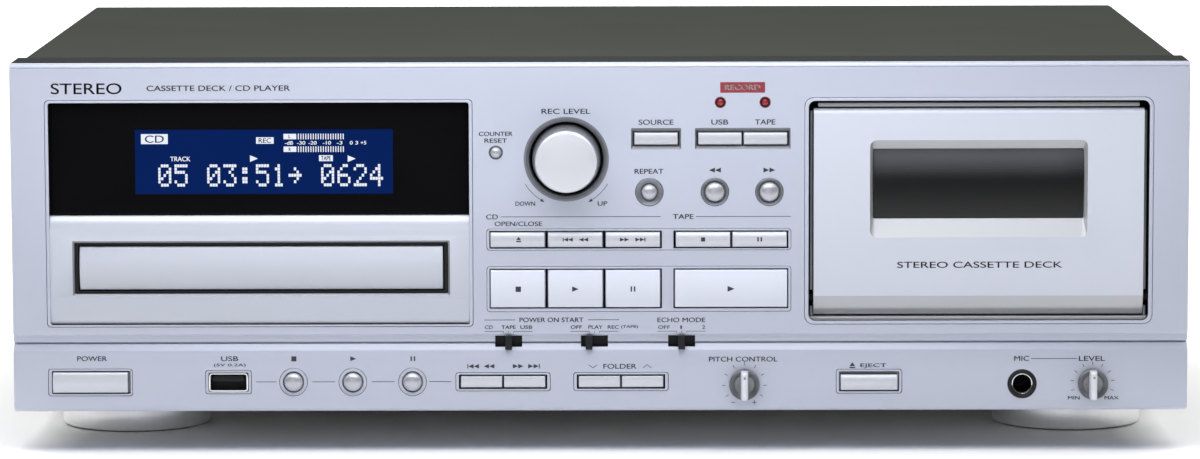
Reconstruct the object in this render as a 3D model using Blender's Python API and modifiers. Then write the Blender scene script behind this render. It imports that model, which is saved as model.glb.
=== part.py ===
"""A full-width CD player and cassette deck, built as the separate pieces it comes apart into.

Sizes are in millimetres and become metres where a mesh is made. +Z is up and the front
faces -Y. The origin lies on the surface that the feet stand on, in the middle of the
object's box. A depth is measured behind the front panel's face, so it is negative in front.
"""

import math

import bmesh
import bpy
from mathutils import Matrix, Vector

MM = 0.001
GAP = 0.3  # between pieces that touch on the real object
OVERLAP = 0.5  # how far joined shapes run into each other
REACH = 5.0  # how far a cutter runs past the wall that it cuts

# Overall size
WIDTH = 435.0
HEIGHT = 145.0
DEPTH = 307.0
KNOB_REACH = 12.0  # the large knob's tip, in front of the panel
JACK_REACH = 8.0  # the rear sockets, behind the rear panel
FACE_Y = -DEPTH / 2 + KNOB_REACH
REAR_Y = DEPTH / 2 - JACK_REACH

# Casing
FOOT_HEIGHT = 15.3
PANEL_THICKNESS = 3.2
PANEL_WALL = 2.5
PANEL_DEPTH = 26.0
PANEL_CORNER = 1.2
COVER_WIDTH = 430.8
COVER_TOP = HEIGHT - 0.3
COVER_WALL = 1.2
COVER_LOW_EDGE = 17.5
PAN_FLOOR = FOOT_HEIGHT + 1.5  # the chassis floor's upper face
PAN_WALL = 1.5
PAN_RIM = 27.0
FOOT_RADIUS = 28.4
FOOT_X = 179.0
FOOT_FRONT_DEPTH = 75.5
FOOT_REAR_DEPTH = 226.0
FOOT_PAD_RADIUS = FOOT_RADIUS - 4.0
FOOT_PAD_HEIGHT = 1.0
COVER_BEND = (1.5, 0.5, 0.4)  # how far the rounded top edge reaches, and its middle point
REAR_THICKNESS = 1.6
VENTS_X = range(20, 81, 6)
VENT_WIDTH = 2.5
VENT_Y = (0.0, 60.0)

# Groove between the upper and lower parts of the panel
GROOVE_TOP = 44.3
GROOVE_SEAM = 40.8
GROOVE_LOW = 38.0
GROOVE_DEPTH = 1.8

# Left module: display window above, disc drawer below
MODULE_X = (-204.0, -47.6)
MODULE_Z = (47.6, 130.8)
WINDOW_LOW = 88.6
LCD_X = (-171.6, -76.4)
LCD_Z = (96.3, 120.1)
DRAWER_X = -125.3
DRAWER_Z = 68.8
DRAWER_WIDTH = 134.4
DRAWER_HEIGHT = 16.0
SLOT_MARGIN = 1.5
BEZEL_BACK = 6.0
WINDOW_FRONT = 1.2
WINDOW_BACK = 3.6
SCREEN_DEPTHS = (4.2, 8.0, 14.0)  # the glass's front, the module's shoulder and its back
SCREEN_MARGIN = 5.0
DRAWER_FRONT = 0.5
DRAWER_BACK = 4.2

# Disc mechanism
TRAY_WIDTH = 129.0
TRAY_Z = (62.8, 68.6)
TRAY_LENGTH = 176.0
TRAY_SIDE_GAP = 0.6
DISC_DEPTH = 70.0
DISC_RECESS_RADIUS = 60.8
DISC_RECESS_FLOOR = 65.4
PICKUP_HALF_WIDTH = 19.0
PICKUP_REACH = 62.0
PICKUP_CORNER = 12.0
RAIL_WALL = 2.0
LEDGE_REACH = 3.5
LEDGE_THICKNESS = 1.8
FRAME_FLOOR_Z = (47.0, 49.5)
FRAME_BRIDGE_Z = (76.0, 78.5)
FRAME_DEPTHS = (8.0, 182.0)
BRIDGE_HALF = 16.0
CLAMP_RADIUS = 14.0
POST_RADIUS = 4.0
POST_X = 58
POST_DEPTHS = (40, 170)
SPINDLE_HOLE = 5.0
LENS_HALF_WIDTH = 11.0
LENS_SLOT = (20.0, 60.0)
TURNTABLE_Z = 59.0

# Cassette compartment
BAY_X = (76.0, 203.8)
BAY_Z = (47.4, 131.2)
BAY_CENTRE = sum(BAY_X) / 2
DOOR_WIDTH = 121.8
DOOR_Z = (50.8, 127.5)
DOOR_BEND = 58.5
DOOR_FRONT = 0.5
DOOR_BACK = 5.0
DOOR_ROOT = 9.4  # the back of the thick part that carries the hinge pins
HINGE_DEPTH = 7.0
HINGE_Z = 57.0
HINGE_PIN_RADIUS = 2.0
PIN_REACH = 1.6
GLASS_WIDTH = 77.5
GLASS_Z = (86.7, 112.3)
TROUGH_Z = (79.8, 115.9)
TROUGH_DEPTH = 3.0
TROUGH_SIDE = 1.4
WELL_WALL = 2.0
WELL_BACK = 26.0
WELL_PLATE_FRONT = 24.0
HOLDER_FRONT = 6.0
HOLDER_BACK = 20.5
HOLDER_Z = (59.9, 122.0)
HOLDER_WALL = 2.5
HOLDER_SHELF = 15
HOLDER_LIP = 5
CASSETTE_WIDTH = 100.4
CASSETTE_BOTTOM = 62.0
REEL_PITCH = 42.5
REEL_Z = CASSETTE_BOTTOM + 34.0
CAPSTAN_X = BAY_CENTRE + 22.0
CAPSTAN_Z = CASSETTE_BOTTOM + 6.5
REEL_HOLE = 2.6
CAPSTAN_HOLE = 1.9
HEAD_PLATE_Z = (49.0, 53.0)
HEAD_DEPTHS = (12.0, 13.0, 21.0, 22.3, 22.5)  # plate front, head front and back, arm, plate back
HEAD_HALF_WIDTH = 6
HEAD_TOP = 60.5
PINCH_ROLLER_Z = 55.9
ROLLER_RADIUS = 5.0
ROLLER_BACK = 20.0
ROLLER_ARM_TOP = 57.5

# Keys and knobs: the flange behind the panel keeps each key in
FLANGE = 1.2
FLANGE_DEPTH = PANEL_THICKNESS + GAP
KEY_CHAMFER = 0.4
KEY_GAP = 0.45  # between a key and the edge of its opening
KEY_PROUD = 1.2
KEY_FLANGE = (0.3, 1.1)  # how far a flange stands out beside and above its cap
ROUND_KEY_FLANGE = 1.2
DEEP_KEY = (2.0, (1.1, 1.1))  # how far a long-travel key stands proud, and its flange
KEY_ROW_X = (-30.4, -9.1, 12.2, 38.1, 59.0)
KEY_WIDTH = 20.0
OPENING_CD = (-40.8, 22.9)
OPENING_TAPE = (27.3, 69.6)
UPPER_KEYS_Z = 79.3
UPPER_KEYS_HEIGHT = 5.6
LOWER_KEYS_Z = 61.1
LOWER_KEYS_HEIGHT = 13.8
RECORD_X = (44.5, 61.0)
RECORD_KEYS_X = (44.35, 61.15)
SOURCE_X = 20.8
RECORD_KEYS_Z = 116.7
SMALL_KEY_WIDTH = 15.9
SMALL_KEY_HEIGHT = 4.4
LAMP_Z = 130.1
LAMP_RADIUS = 1.7
LAMP_BAR = 2.4  # how far the bar behind the lamps reaches past their middles
RECORD_KNOB = (-12.3, 109.2)
RECORD_KNOB_RADIUS = 12.6
RECORD_KNOB_HOLE = 14.2
RECORD_SHAFT = 9.0  # how far a shaft reaches behind the panel
SMALL_SHAFT = 8.0
ROUND_KEYS_Z = 96.9
ROUND_KEYS = (
    ("repeat_button", 18.3, 2.9),
    ("tape_rewind_button", 42.5, 3.6),
    ("tape_forward_button", 62.6, 3.6),
)
USB_KEY_RADIUS = 3.5
COUNTER_KEY = (-38.3, 111.7)
COUNTER_KEY_RADIUS = 2.1
COUNTER_HOLE = 2.5
SLIDE_X = (-33.9, -2.1, 30.2)
SLIDE_Z = 41.3
SLIDE_SLOT = (10.0, 4.2)
SLIDE_STEP = 2.0
LOWER_ROW_Z = 26.3
SKIP_PAIR_X = -36.0
FOLDER_PAIR_X = 7.7
PAIR_KEY_OFFSET = 8.0
PAIR_KEY_HEIGHT = 4.2
POWER_KEY_X = -189.0
POWER_KEY = (27.8, 7.6)
POWER_OPENING = (28.9, 8.6)
EJECT_KEY_X = 99.6
EJECT_KEY_Z = LOWER_ROW_Z - 0.4
EJECT_KEY = (21.0, 5.8)
EJECT_OPENING = (22.6, 7.2)
USB_X = -137.8
USB_OPENING = (15.2, 7.6)
USB_SHELL = (14.5, 7.0)
USB_MOUTH = (12.5, 5.1)
USB_LENGTH = 14.0
USB_KEYS_X = (-113.7, -91.7, -69.6)
PITCH_KNOB_X = 53.4
MIC_X = 156.3
MIC_HOLE = 5.5
JACK_RADIUS = 7.0
JACK_LENGTH = 32.0
JACK_BORE = 3.4
JACK_NOTCH = (9.0, 10.0)  # half the width and the depth that the pan leaves free for the jack
MIC_KNOB_X = 182.4
SMALL_KNOB_Z = 25.2
SMALL_KNOB_RADIUS = 5.6
SHAFT_RADIUS = 2.6
SHAFT_CLEARANCE = 0.4

# Inside the case
BOARD_X = (-20.0, 150.0)
BOARD_Z = 30.0
BOARD_FRONT = 20.0
BOARD_THICKNESS = 1.6
HEAT_SINK = ((0, 40), (60, 66))
CAPACITORS = ((8, 90), (30, 90))
CAPACITOR_RADIUS = 8.0
JACK_X = (70.0, 86.0)
JACK_Z = (48.0, 64.0)
JACK_HOLE = 5.4
BARREL_RADIUS = 4.1
BARREL_BORE = 1.7
INLET = (-165.0, 60.0)
INLET_BODY = (24.0, 16.0)
INLET_OPENING = (25.0, 17.0)
INLET_FLANGE = (28.0, 20.0)
INLET_MOUTH = (17.6, 8.8)
INLET_PIN_X = 4.3
INLET_PIN_RADIUS = 1.2
TRANSFORMER = (-160.0, 95.0)
CORE_SIZE = (60.0, 28.0)
CORE_HEIGHT = 50.0
COIL_SIZE = (38.0, 46.0)
COIL_MARGIN = 9.0
BRACKET_SIZE = (74.0, 20.0)
BRACKET_THICKNESS = 1.5

SILVER = ("silver", (0.66, 0.68, 0.73), 0.35, 0.6)
BRIGHT = ("bright_silver", (0.78, 0.80, 0.84), 0.28, 0.8)
COVER_GREY = ("cover_grey", (0.09, 0.09, 0.085), 0.5, 0.2)
STEEL = ("zinc_steel", (0.6, 0.6, 0.58), 0.4, 0.9)
BLACK = ("black_plastic", (0.02, 0.02, 0.022), 0.45, 0.0)
SMOKED = ("smoked_window", (0.015, 0.015, 0.018), 0.08, 0.0)
SCREEN = ("blue_screen", (0.0, 0.02, 0.12), 0.2, 0.0)
RED = ("red_lamp", (0.5, 0.02, 0.02), 0.25, 0.0)
GREEN = ("circuit_board", (0.02, 0.12, 0.05), 0.5, 0.0)
COPPER = ("copper_winding", (0.6, 0.25, 0.1), 0.35, 0.9)
CHROME = ("polished_metal", (0.8, 0.8, 0.8), 0.12, 1.0)

# Each matrix carries an outline's own x, y and thickness onto the world's axes.
FACING = {
    "X": Matrix(((0, 0, 1, 0), (1, 0, 0, 0), (0, 1, 0, 0), (0, 0, 0, 1))),
    "Y": Matrix(((1, 0, 0, 0), (0, 0, -1, 0), (0, 1, 0, 0), (0, 0, 0, 1))),
    "Z": Matrix.Identity(4),
}
ALONG = {"X": Vector((1, 0, 0)), "Y": Vector((0, 1, 0)), "Z": Vector((0, 0, 1))}


def depth(behind_face):
    """The Y of a depth behind the front panel's face."""
    return FACE_Y + behind_face


def clear_scene():
    for obj in list(bpy.data.objects):
        bpy.data.objects.remove(obj)


def new_collection(name, hidden=False):
    made = bpy.data.collections.new(name)
    bpy.context.scene.collection.children.link(made)
    made.hide_render = hidden
    return made


clear_scene()
DECK = new_collection("cassette_deck")
HELPERS = new_collection("cutters_and_joined_shapes", hidden=True)


def material(name, colour, roughness, metallic):
    found = bpy.data.materials.get(name)
    if found:
        return found
    made = bpy.data.materials.new(name)
    made.use_nodes = True
    shader = made.node_tree.nodes["Principled BSDF"]
    shader.inputs["Base Color"].default_value = (*colour, 1.0)
    shader.inputs["Roughness"].default_value = roughness
    shader.inputs["Metallic"].default_value = metallic
    return made


def add_object(name, mesh):
    obj = bpy.data.objects.new(name, mesh)
    DECK.objects.link(obj)
    return obj


def finish_node(obj, finish, origin=None):
    """Gives a node its material, smooth round faces and its origin, in millimetres."""
    obj.data.materials.clear()
    obj.data.materials.append(material(*finish))
    obj.data.shade_smooth()
    obj.data.set_sharp_from_angle(angle=math.radians(30))
    if origin:
        offset = Vector(origin) * MM
        obj.data.transform(Matrix.Translation(-offset))
        obj.location = offset
    return obj


# Shapes


def block(name, x, y, z):
    """A box between three pairs of limits."""
    shape = bmesh.new()
    bmesh.ops.create_cube(shape, size=1.0)
    size = [(high - low) * MM for low, high in (x, y, z)]
    middle = [(high + low) / 2 * MM for low, high in (x, y, z)]
    bmesh.ops.scale(shape, vec=size, verts=shape.verts)
    bmesh.ops.translate(shape, vec=middle, verts=shape.verts)
    mesh = bpy.data.meshes.new(name)
    shape.to_mesh(mesh)
    shape.free()
    return add_object(name, mesh)


def rod(name, axis, centre, radius, start, end, sides=24):
    """A cylinder along an axis. Its centre is given in the other two axes, in X, Y, Z order."""
    shape = bmesh.new()
    bmesh.ops.create_cone(
        shape,
        cap_ends=True,
        segments=sides,
        radius1=radius * MM,
        radius2=radius * MM,
        depth=(end - start) * MM,
    )
    shape.transform(FACING[axis])
    offset = {
        "X": ((start + end) / 2, centre[0], centre[1]),
        "Y": (centre[0], (start + end) / 2, centre[1]),
        "Z": (centre[0], centre[1], (start + end) / 2),
    }[axis]
    shape.transform(Matrix.Translation(Vector(offset) * MM))
    mesh = bpy.data.meshes.new(name)
    shape.to_mesh(mesh)
    shape.free()
    return add_object(name, mesh)


def rectangle(u, v, corner=0.0, corner_steps=3):
    """An outline between two pairs of limits, with round corners if corner is given."""
    if not corner:
        return [(u[0], v[0]), (u[1], v[0]), (u[1], v[1]), (u[0], v[1])]
    centres = (
        (u[1] - corner, v[0] + corner, -90),
        (u[1] - corner, v[1] - corner, 0),
        (u[0] + corner, v[1] - corner, 90),
        (u[0] + corner, v[0] + corner, 180),
    )
    points = []
    for cu, cv, first in centres:
        for step in range(corner_steps + 1):
            angle = math.radians(first + 90 * step / corner_steps)
            points.append((cu + corner * math.cos(angle), cv + corner * math.sin(angle)))
    return points


def circle(centre, radius, sides=24):
    angles = [2 * math.pi * i / sides for i in range(sides)]
    return [(centre[0] + radius * math.cos(a), centre[1] + radius * math.sin(a)) for a in angles]


def around(centre, width, height):
    """The two pairs of limits of a rectangle about its centre."""
    return (
        (centre[0] - width / 2, centre[0] + width / 2),
        (centre[1] - height / 2, centre[1] + height / 2),
    )


def extruded(name, outlines, axis, start, end):
    """A flat outline with holes, made thick along an axis. Outlines hold the other two axes."""
    curve = bpy.data.curves.new(name, "CURVE")
    curve.dimensions = "2D"
    curve.fill_mode = "BOTH"
    curve.extrude = (end - start) / 2 * MM
    for outline in outlines:
        spline = curve.splines.new("POLY")
        spline.points.add(len(outline) - 1)
        for point, (u, v) in zip(spline.points, outline):
            point.co = (u * MM, v * MM, 0, 1)
        spline.use_cyclic_u = True
    drawn = bpy.data.objects.new(name + "_outline", curve)
    bpy.context.scene.collection.objects.link(drawn)
    drawn.matrix_world = Matrix.Translation(ALONG[axis] * (start + end) / 2 * MM) @ FACING[axis]
    graph = bpy.context.evaluated_depsgraph_get()
    mesh = bpy.data.meshes.new_from_object(drawn.evaluated_get(graph))
    mesh.transform(drawn.matrix_world)
    bpy.data.objects.remove(drawn)
    shape = bmesh.new()
    shape.from_mesh(mesh)
    bmesh.ops.remove_doubles(shape, verts=shape.verts, dist=0.01 * MM)
    bmesh.ops.recalc_face_normals(shape, faces=shape.faces)
    shape.to_mesh(mesh)
    shape.free()
    return add_object(name, mesh)


def prisms(name, outlines, axis, start, end):
    """Separate flat outlines without holes, made thick along an axis in one mesh."""
    shape = bmesh.new()
    half = (end - start) / 2 * MM
    for outline in outlines:
        base = shape.faces.new([shape.verts.new((u * MM, v * MM, -half)) for u, v in outline])
        grown = bmesh.ops.extrude_face_region(shape, geom=[base], use_keep_orig=True)["geom"]
        top = [item for item in grown if isinstance(item, bmesh.types.BMVert)]
        bmesh.ops.translate(shape, vec=(0, 0, 2 * half), verts=top)
    bmesh.ops.recalc_face_normals(shape, faces=shape.faces)
    shape.transform(Matrix.Translation(ALONG[axis] * (start + end) / 2 * MM) @ FACING[axis])
    mesh = bpy.data.meshes.new(name)
    shape.to_mesh(mesh)
    shape.free()
    return add_object(name, mesh)


def turned(name, profile, at, axis="front", steps=32):
    """A turned piece at a point, from (radius, height) pairs down its outer side."""
    mesh = bpy.data.meshes.new(name)
    points = [(radius * MM, 0, height * MM) for radius, height in profile]
    mesh.from_pydata(points, [(i, i + 1) for i in range(len(points) - 1)], [])
    obj = add_object(name, mesh)
    screw = obj.modifiers.new("Turn", "SCREW")
    screw.steps = steps
    screw.render_steps = steps
    screw.use_merge_vertices = True
    screw.merge_threshold = 0.00001
    obj.location = Vector(at) * MM
    obj.rotation_euler = {"front": (math.pi / 2, 0, 0), "up": (0, 0, 0)}[axis]
    return obj


def stepped(name, centre, sections):
    """A block along Y made of sections, each (Y, half width, half height), from back to front."""
    shape = bmesh.new()
    bmesh.ops.create_cube(shape, size=1.0)
    for vert in shape.verts:
        y, half_width, half_height = sections[0] if vert.co.y > 0 else sections[1]
        vert.co = corner(vert.co, centre, y, half_width, half_height)
    front = min(shape.faces, key=lambda face: face.calc_center_median().y)
    for section in sections[2:]:
        front = bmesh.ops.extrude_discrete_faces(shape, faces=[front])["faces"][0]
        middle = front.calc_center_median()
        for vert in front.verts:
            vert.co = corner(vert.co - middle, centre, *section)
    mesh = bpy.data.meshes.new(name)
    shape.to_mesh(mesh)
    shape.free()
    return add_object(name, mesh)


def corner(side, centre, y, half_width, half_height):
    """A section's corner, on the side of the centre that the vector side points to."""
    x = centre[0] + math.copysign(half_width, side.x)
    z = centre[1] + math.copysign(half_height, side.z)
    return Vector((x, y, z)) * MM


def boolean(obj, others, operation):
    for other in others:
        modifier = obj.modifiers.new(other.name, "BOOLEAN")
        modifier.operation = operation
        modifier.solver = "EXACT"
        modifier.object = other
        DECK.objects.unlink(other)
        HELPERS.objects.link(other)
        other.hide_render = True
        other.display_type = "WIRE"
    return obj


def join(obj, *others):
    return boolean(obj, others, "UNION")


def cut(obj, *others):
    return boolean(obj, others, "DIFFERENCE")


# Keys, knobs and levers


def push_key(name, centre, width, height, proud=KEY_PROUD, flange=KEY_FLANGE):
    """A rectangular key: a cap through the panel, on a flange behind it."""
    back = depth(FLANGE_DEPTH + FLANGE)
    flange_front = depth(FLANGE_DEPTH)
    half_width, half_height = width / 2, height / 2
    key = stepped(
        name,
        centre,
        [
            (back, half_width + flange[0], half_height + flange[1]),
            (flange_front, half_width + flange[0], half_height + flange[1]),
            (flange_front, half_width, half_height),
            (depth(KEY_CHAMFER - proud), half_width, half_height),
            (depth(-proud), half_width - KEY_CHAMFER, half_height - KEY_CHAMFER),
        ],
    )
    return finish_node(key, SILVER, (centre[0], depth(0), centre[1]))


def round_key(name, centre, radius, proud=1.6):
    """A domed round key with a flange behind the panel."""
    flange_radius = radius + ROUND_KEY_FLANGE
    key = turned(
        name,
        [
            (0, proud),
            (radius * 0.5, proud * 0.86),
            (radius * 0.85, proud * 0.45),
            (radius, -0.3),
            (radius, -FLANGE_DEPTH),
            (flange_radius, -FLANGE_DEPTH),
            (flange_radius, -FLANGE_DEPTH - FLANGE),
            (0, -FLANGE_DEPTH - FLANGE),
        ],
        (centre[0], depth(0), centre[1]),
        steps=20,
    )
    return finish_node(key, SILVER)


def build_push_keys():
    row = ("cd_open_close_button", "cd_skip_back_button", "cd_skip_forward_button")
    for name, x in zip(row + ("tape_stop_button", "tape_pause_button"), KEY_ROW_X):
        push_key(name, (x, UPPER_KEYS_Z), KEY_WIDTH, UPPER_KEYS_HEIGHT)
    for name, x in zip(("cd_stop_button", "cd_play_button", "cd_pause_button"), KEY_ROW_X):
        push_key(name, (x, LOWER_KEYS_Z), KEY_WIDTH, LOWER_KEYS_HEIGHT)
    tape_play_x = sum(OPENING_TAPE) / 2
    tape_play_width = OPENING_TAPE[1] - OPENING_TAPE[0] - 2 * KEY_GAP
    push_key("tape_play_button", (tape_play_x, LOWER_KEYS_Z), tape_play_width, LOWER_KEYS_HEIGHT)
    push_key("source_button", (SOURCE_X, RECORD_KEYS_Z), SMALL_KEY_WIDTH, SMALL_KEY_HEIGHT)
    for name, x in zip(("record_usb_button", "record_tape_button"), RECORD_KEYS_X):
        push_key(name, (x, RECORD_KEYS_Z), SMALL_KEY_WIDTH, SMALL_KEY_HEIGHT)
    pairs = (
        ("usb_skip_back_button", SKIP_PAIR_X - PAIR_KEY_OFFSET),
        ("usb_skip_forward_button", SKIP_PAIR_X + PAIR_KEY_OFFSET),
        ("folder_down_button", FOLDER_PAIR_X - PAIR_KEY_OFFSET),
        ("folder_up_button", FOLDER_PAIR_X + PAIR_KEY_OFFSET),
    )
    for name, x in pairs:
        push_key(name, (x, LOWER_ROW_Z), 2 * PAIR_KEY_OFFSET - 0.8, PAIR_KEY_HEIGHT)
    push_key("power_button", (POWER_KEY_X, LOWER_ROW_Z), *POWER_KEY, *DEEP_KEY)
    push_key("eject_button", (EJECT_KEY_X, EJECT_KEY_Z), *EJECT_KEY, *DEEP_KEY)


def build_round_keys():
    round_key("counter_reset_button", COUNTER_KEY, COUNTER_KEY_RADIUS, KEY_PROUD)
    for name, x, radius in ROUND_KEYS:
        round_key(name, (x, ROUND_KEYS_Z), radius)
    for name, x in zip(("usb_stop_button", "usb_play_button", "usb_pause_button"), USB_KEYS_X):
        round_key(name, (x, LOWER_ROW_Z), USB_KEY_RADIUS)


def build_knobs():
    radius = RECORD_KNOB_RADIUS
    shaft_end = -PANEL_THICKNESS - RECORD_SHAFT
    knob = turned(
        "record_level_knob",
        [
            (0, KNOB_REACH),
            (radius - 2.6, KNOB_REACH - 0.3),
            (radius - 1.6, KNOB_REACH - 1.3),
            (radius - 1.0, KNOB_REACH - 3.0),
            (radius, 0.5),
            (radius, -2.0),
            (SHAFT_RADIUS, -2.0),
            (SHAFT_RADIUS, shaft_end),
            (0, shaft_end),
        ],
        (RECORD_KNOB[0], depth(0), RECORD_KNOB[1]),
        steps=48,
    )
    finish_node(knob, BRIGHT)
    for name, x in (("pitch_knob", PITCH_KNOB_X), ("mic_level_knob", MIC_KNOB_X)):
        small_knob(name, (x, SMALL_KNOB_Z))


def small_knob(name, centre):
    """A disc with a raised rim and a finger bar across it, on a shaft through the panel."""
    radius = SMALL_KNOB_RADIUS
    shaft_end = -PANEL_THICKNESS - SMALL_SHAFT
    knob = turned(
        name,
        [
            (0, 2.2),
            (radius * 0.55, 2.2),
            (radius - 0.5, 3.4),
            (radius, 3.0),
            (radius, 0.4),
            (SHAFT_RADIUS, 0.4),
            (SHAFT_RADIUS, shaft_end),
            (0, shaft_end),
        ],
        (centre[0], depth(0), centre[1]),
        steps=32,
    )
    bar = stepped(
        name + "_bar",
        (0, 0),
        [(-1.0, 1.4, radius - 0.2), (-5.0, 1.3, radius - 0.2), (-7.4, 0.9, radius - 1.2)],
    )
    bar.location = Vector((centre[0], depth(0), centre[1])) * MM
    join(knob, bar)
    finish_node(knob, BRIGHT)


def build_slide_switches():
    names = ("source_slide_switch", "start_mode_slide_switch", "echo_slide_switch")
    rest_offsets = (0.0, -SLIDE_STEP, 0.0)
    for name, slot_x, offset in zip(names, SLIDE_X, rest_offsets):
        centre = (slot_x + offset, SLIDE_Z)
        lever = stepped(
            name,
            centre,
            [
                (depth(FLANGE_DEPTH + FLANGE), 7.6, 3.1),
                (depth(FLANGE_DEPTH), 7.6, 3.1),
                (depth(FLANGE_DEPTH), 1.25, 1.9),
                (depth(0.6), 1.25, 1.9),
                (depth(-0.4), 1.05, 1.5),
            ],
        )
        finish_node(lever, BLACK, (centre[0], depth(0), centre[1]))


# Casing


def panel_openings():
    """Every opening in the front panel's face, as outlines in X and Z."""
    upper_half = UPPER_KEYS_HEIGHT / 2 + KEY_GAP
    lower_half = LOWER_KEYS_HEIGHT / 2 + KEY_GAP
    upper = (UPPER_KEYS_Z - upper_half, UPPER_KEYS_Z + upper_half)
    lower = (LOWER_KEYS_Z - lower_half, LOWER_KEYS_Z + lower_half)
    record_pair = (RECORD_KEYS_X[0] + RECORD_KEYS_X[1]) / 2
    small_height = SMALL_KEY_HEIGHT + 2 * KEY_GAP
    pair_size = (4 * PAIR_KEY_OFFSET + 0.2, PAIR_KEY_HEIGHT + 2 * KEY_GAP)
    found = [
        rectangle(MODULE_X, MODULE_Z, 1.2),
        rectangle(BAY_X, BAY_Z, 2.5),
        rectangle(OPENING_CD, upper),
        rectangle(OPENING_TAPE, upper),
        rectangle(OPENING_CD, lower),
        rectangle(OPENING_TAPE, lower),
        rectangle(*around((SOURCE_X, RECORD_KEYS_Z), SMALL_KEY_WIDTH + 2 * KEY_GAP, small_height)),
        rectangle(*around((record_pair, RECORD_KEYS_Z), 2 * SMALL_KEY_WIDTH + 1.8, small_height)),
        rectangle(*around((SKIP_PAIR_X, LOWER_ROW_Z), *pair_size)),
        rectangle(*around((FOLDER_PAIR_X, LOWER_ROW_Z), *pair_size)),
        rectangle(*around((POWER_KEY_X, LOWER_ROW_Z), *POWER_OPENING)),
        rectangle(*around((EJECT_KEY_X, LOWER_ROW_Z), *EJECT_OPENING)),
        rectangle(*around((USB_X, LOWER_ROW_Z), *USB_OPENING)),
        circle(COUNTER_KEY, COUNTER_HOLE, 16),
        circle(RECORD_KNOB, RECORD_KNOB_HOLE, 48),
        circle((MIC_X, SMALL_KNOB_Z), MIC_HOLE),
    ]
    shaft_hole = SHAFT_RADIUS + SHAFT_CLEARANCE
    found += [circle((x, ROUND_KEYS_Z), radius + KEY_GAP, 20) for _, x, radius in ROUND_KEYS]
    found += [circle((x, LOWER_ROW_Z), USB_KEY_RADIUS + KEY_GAP, 20) for x in USB_KEYS_X]
    found += [circle((x, LAMP_Z), LAMP_RADIUS + GAP, 16) for x in RECORD_X]
    found += [circle((x, SMALL_KNOB_Z), shaft_hole, 16) for x in (PITCH_KNOB_X, MIC_KNOB_X)]
    found += [rectangle(*around((x, SLIDE_Z), *SLIDE_SLOT)) for x in SLIDE_X]
    return found


def build_front_panel():
    half = WIDTH / 2
    outline = rectangle((-half, half), (FOOT_HEIGHT, HEIGHT), PANEL_CORNER, 2)
    panel = extruded("front_panel", [outline], "Y", depth(0), depth(PANEL_DEPTH))
    openings = prisms("panel_openings", panel_openings(), "Y", depth(-REACH), depth(PANEL_DEPTH + REACH))
    hollow = block(
        "panel_hollow",
        (-half + PANEL_WALL, half - PANEL_WALL),
        (depth(PANEL_THICKNESS), depth(PANEL_DEPTH + REACH)),
        (FOOT_HEIGHT + PANEL_WALL, HEIGHT - PANEL_WALL),
    )
    groove = extruded(
        "panel_groove",
        [
            [
                (depth(-REACH), GROOVE_TOP),
                (depth(-REACH), GROOVE_LOW),
                (depth(0), GROOVE_LOW),
                (depth(GROOVE_DEPTH), GROOVE_SEAM),
                (depth(GROOVE_DEPTH), GROOVE_TOP),
            ]
        ],
        "X",
        -half - REACH,
        half + REACH,
    )
    cut(panel, hollow, openings, groove)
    finish_node(panel, SILVER)


def build_case():
    half = COVER_WIDTH / 2
    wall = COVER_WALL
    bend, cut_in, fall = COVER_BEND
    channel = [
        (-half, COVER_LOW_EDGE),
        (-half + wall, COVER_LOW_EDGE),
        (-half + wall, COVER_TOP - wall),
        (half - wall, COVER_TOP - wall),
        (half - wall, COVER_LOW_EDGE),
        (half, COVER_LOW_EDGE),
        (half, COVER_TOP - bend),
        (half - cut_in, COVER_TOP - fall),
        (half - bend, COVER_TOP),
        (-half + bend, COVER_TOP),
        (-half + cut_in, COVER_TOP - fall),
        (-half, COVER_TOP - bend),
    ]
    cover = extruded("top_cover", [channel], "Y", depth(PANEL_DEPTH + GAP), REAR_Y)
    finish_node(cover, COVER_GREY)

    pan_half = half - wall - GAP
    rear_inner = REAR_Y - REAR_THICKNESS - 0.4
    pan = block(
        "chassis_base",
        (-pan_half, pan_half),
        (depth(PANEL_DEPTH + GAP), rear_inner),
        (FOOT_HEIGHT, PAN_RIM),
    )
    inside = block(
        "pan_hollow",
        (-pan_half + PAN_WALL, pan_half - PAN_WALL),
        (depth(PANEL_DEPTH + GAP) + PAN_WALL, rear_inner - PAN_WALL),
        (PAN_FLOOR, PAN_RIM + REACH),
    )
    vents = [
        block(f"pan_vent_{i}", (x, x + VENT_WIDTH), VENT_Y, (FOOT_HEIGHT - REACH, PAN_RIM))
        for i, x in enumerate(VENTS_X)
    ]
    jack_notch = block(
        "jack_notch",
        (MIC_X - JACK_NOTCH[0], MIC_X + JACK_NOTCH[0]),
        (depth(PANEL_DEPTH), depth(PANEL_DEPTH + JACK_NOTCH[1])),
        (PAN_FLOOR + OVERLAP, PAN_RIM + REACH),
    )
    cut(pan, inside, jack_notch, *vents)
    finish_node(pan, STEEL)

    openings = [circle((x, z), JACK_HOLE, 16) for x in JACK_X for z in JACK_Z]
    openings.append(rectangle(*around(INLET, *INLET_OPENING)))
    plate = [rectangle((-pan_half, pan_half), (FOOT_HEIGHT, COVER_TOP - wall - GAP)), *openings]
    rear = extruded("rear_panel", plate, "Y", REAR_Y - REAR_THICKNESS, REAR_Y)
    finish_node(rear, COVER_GREY)


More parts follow.
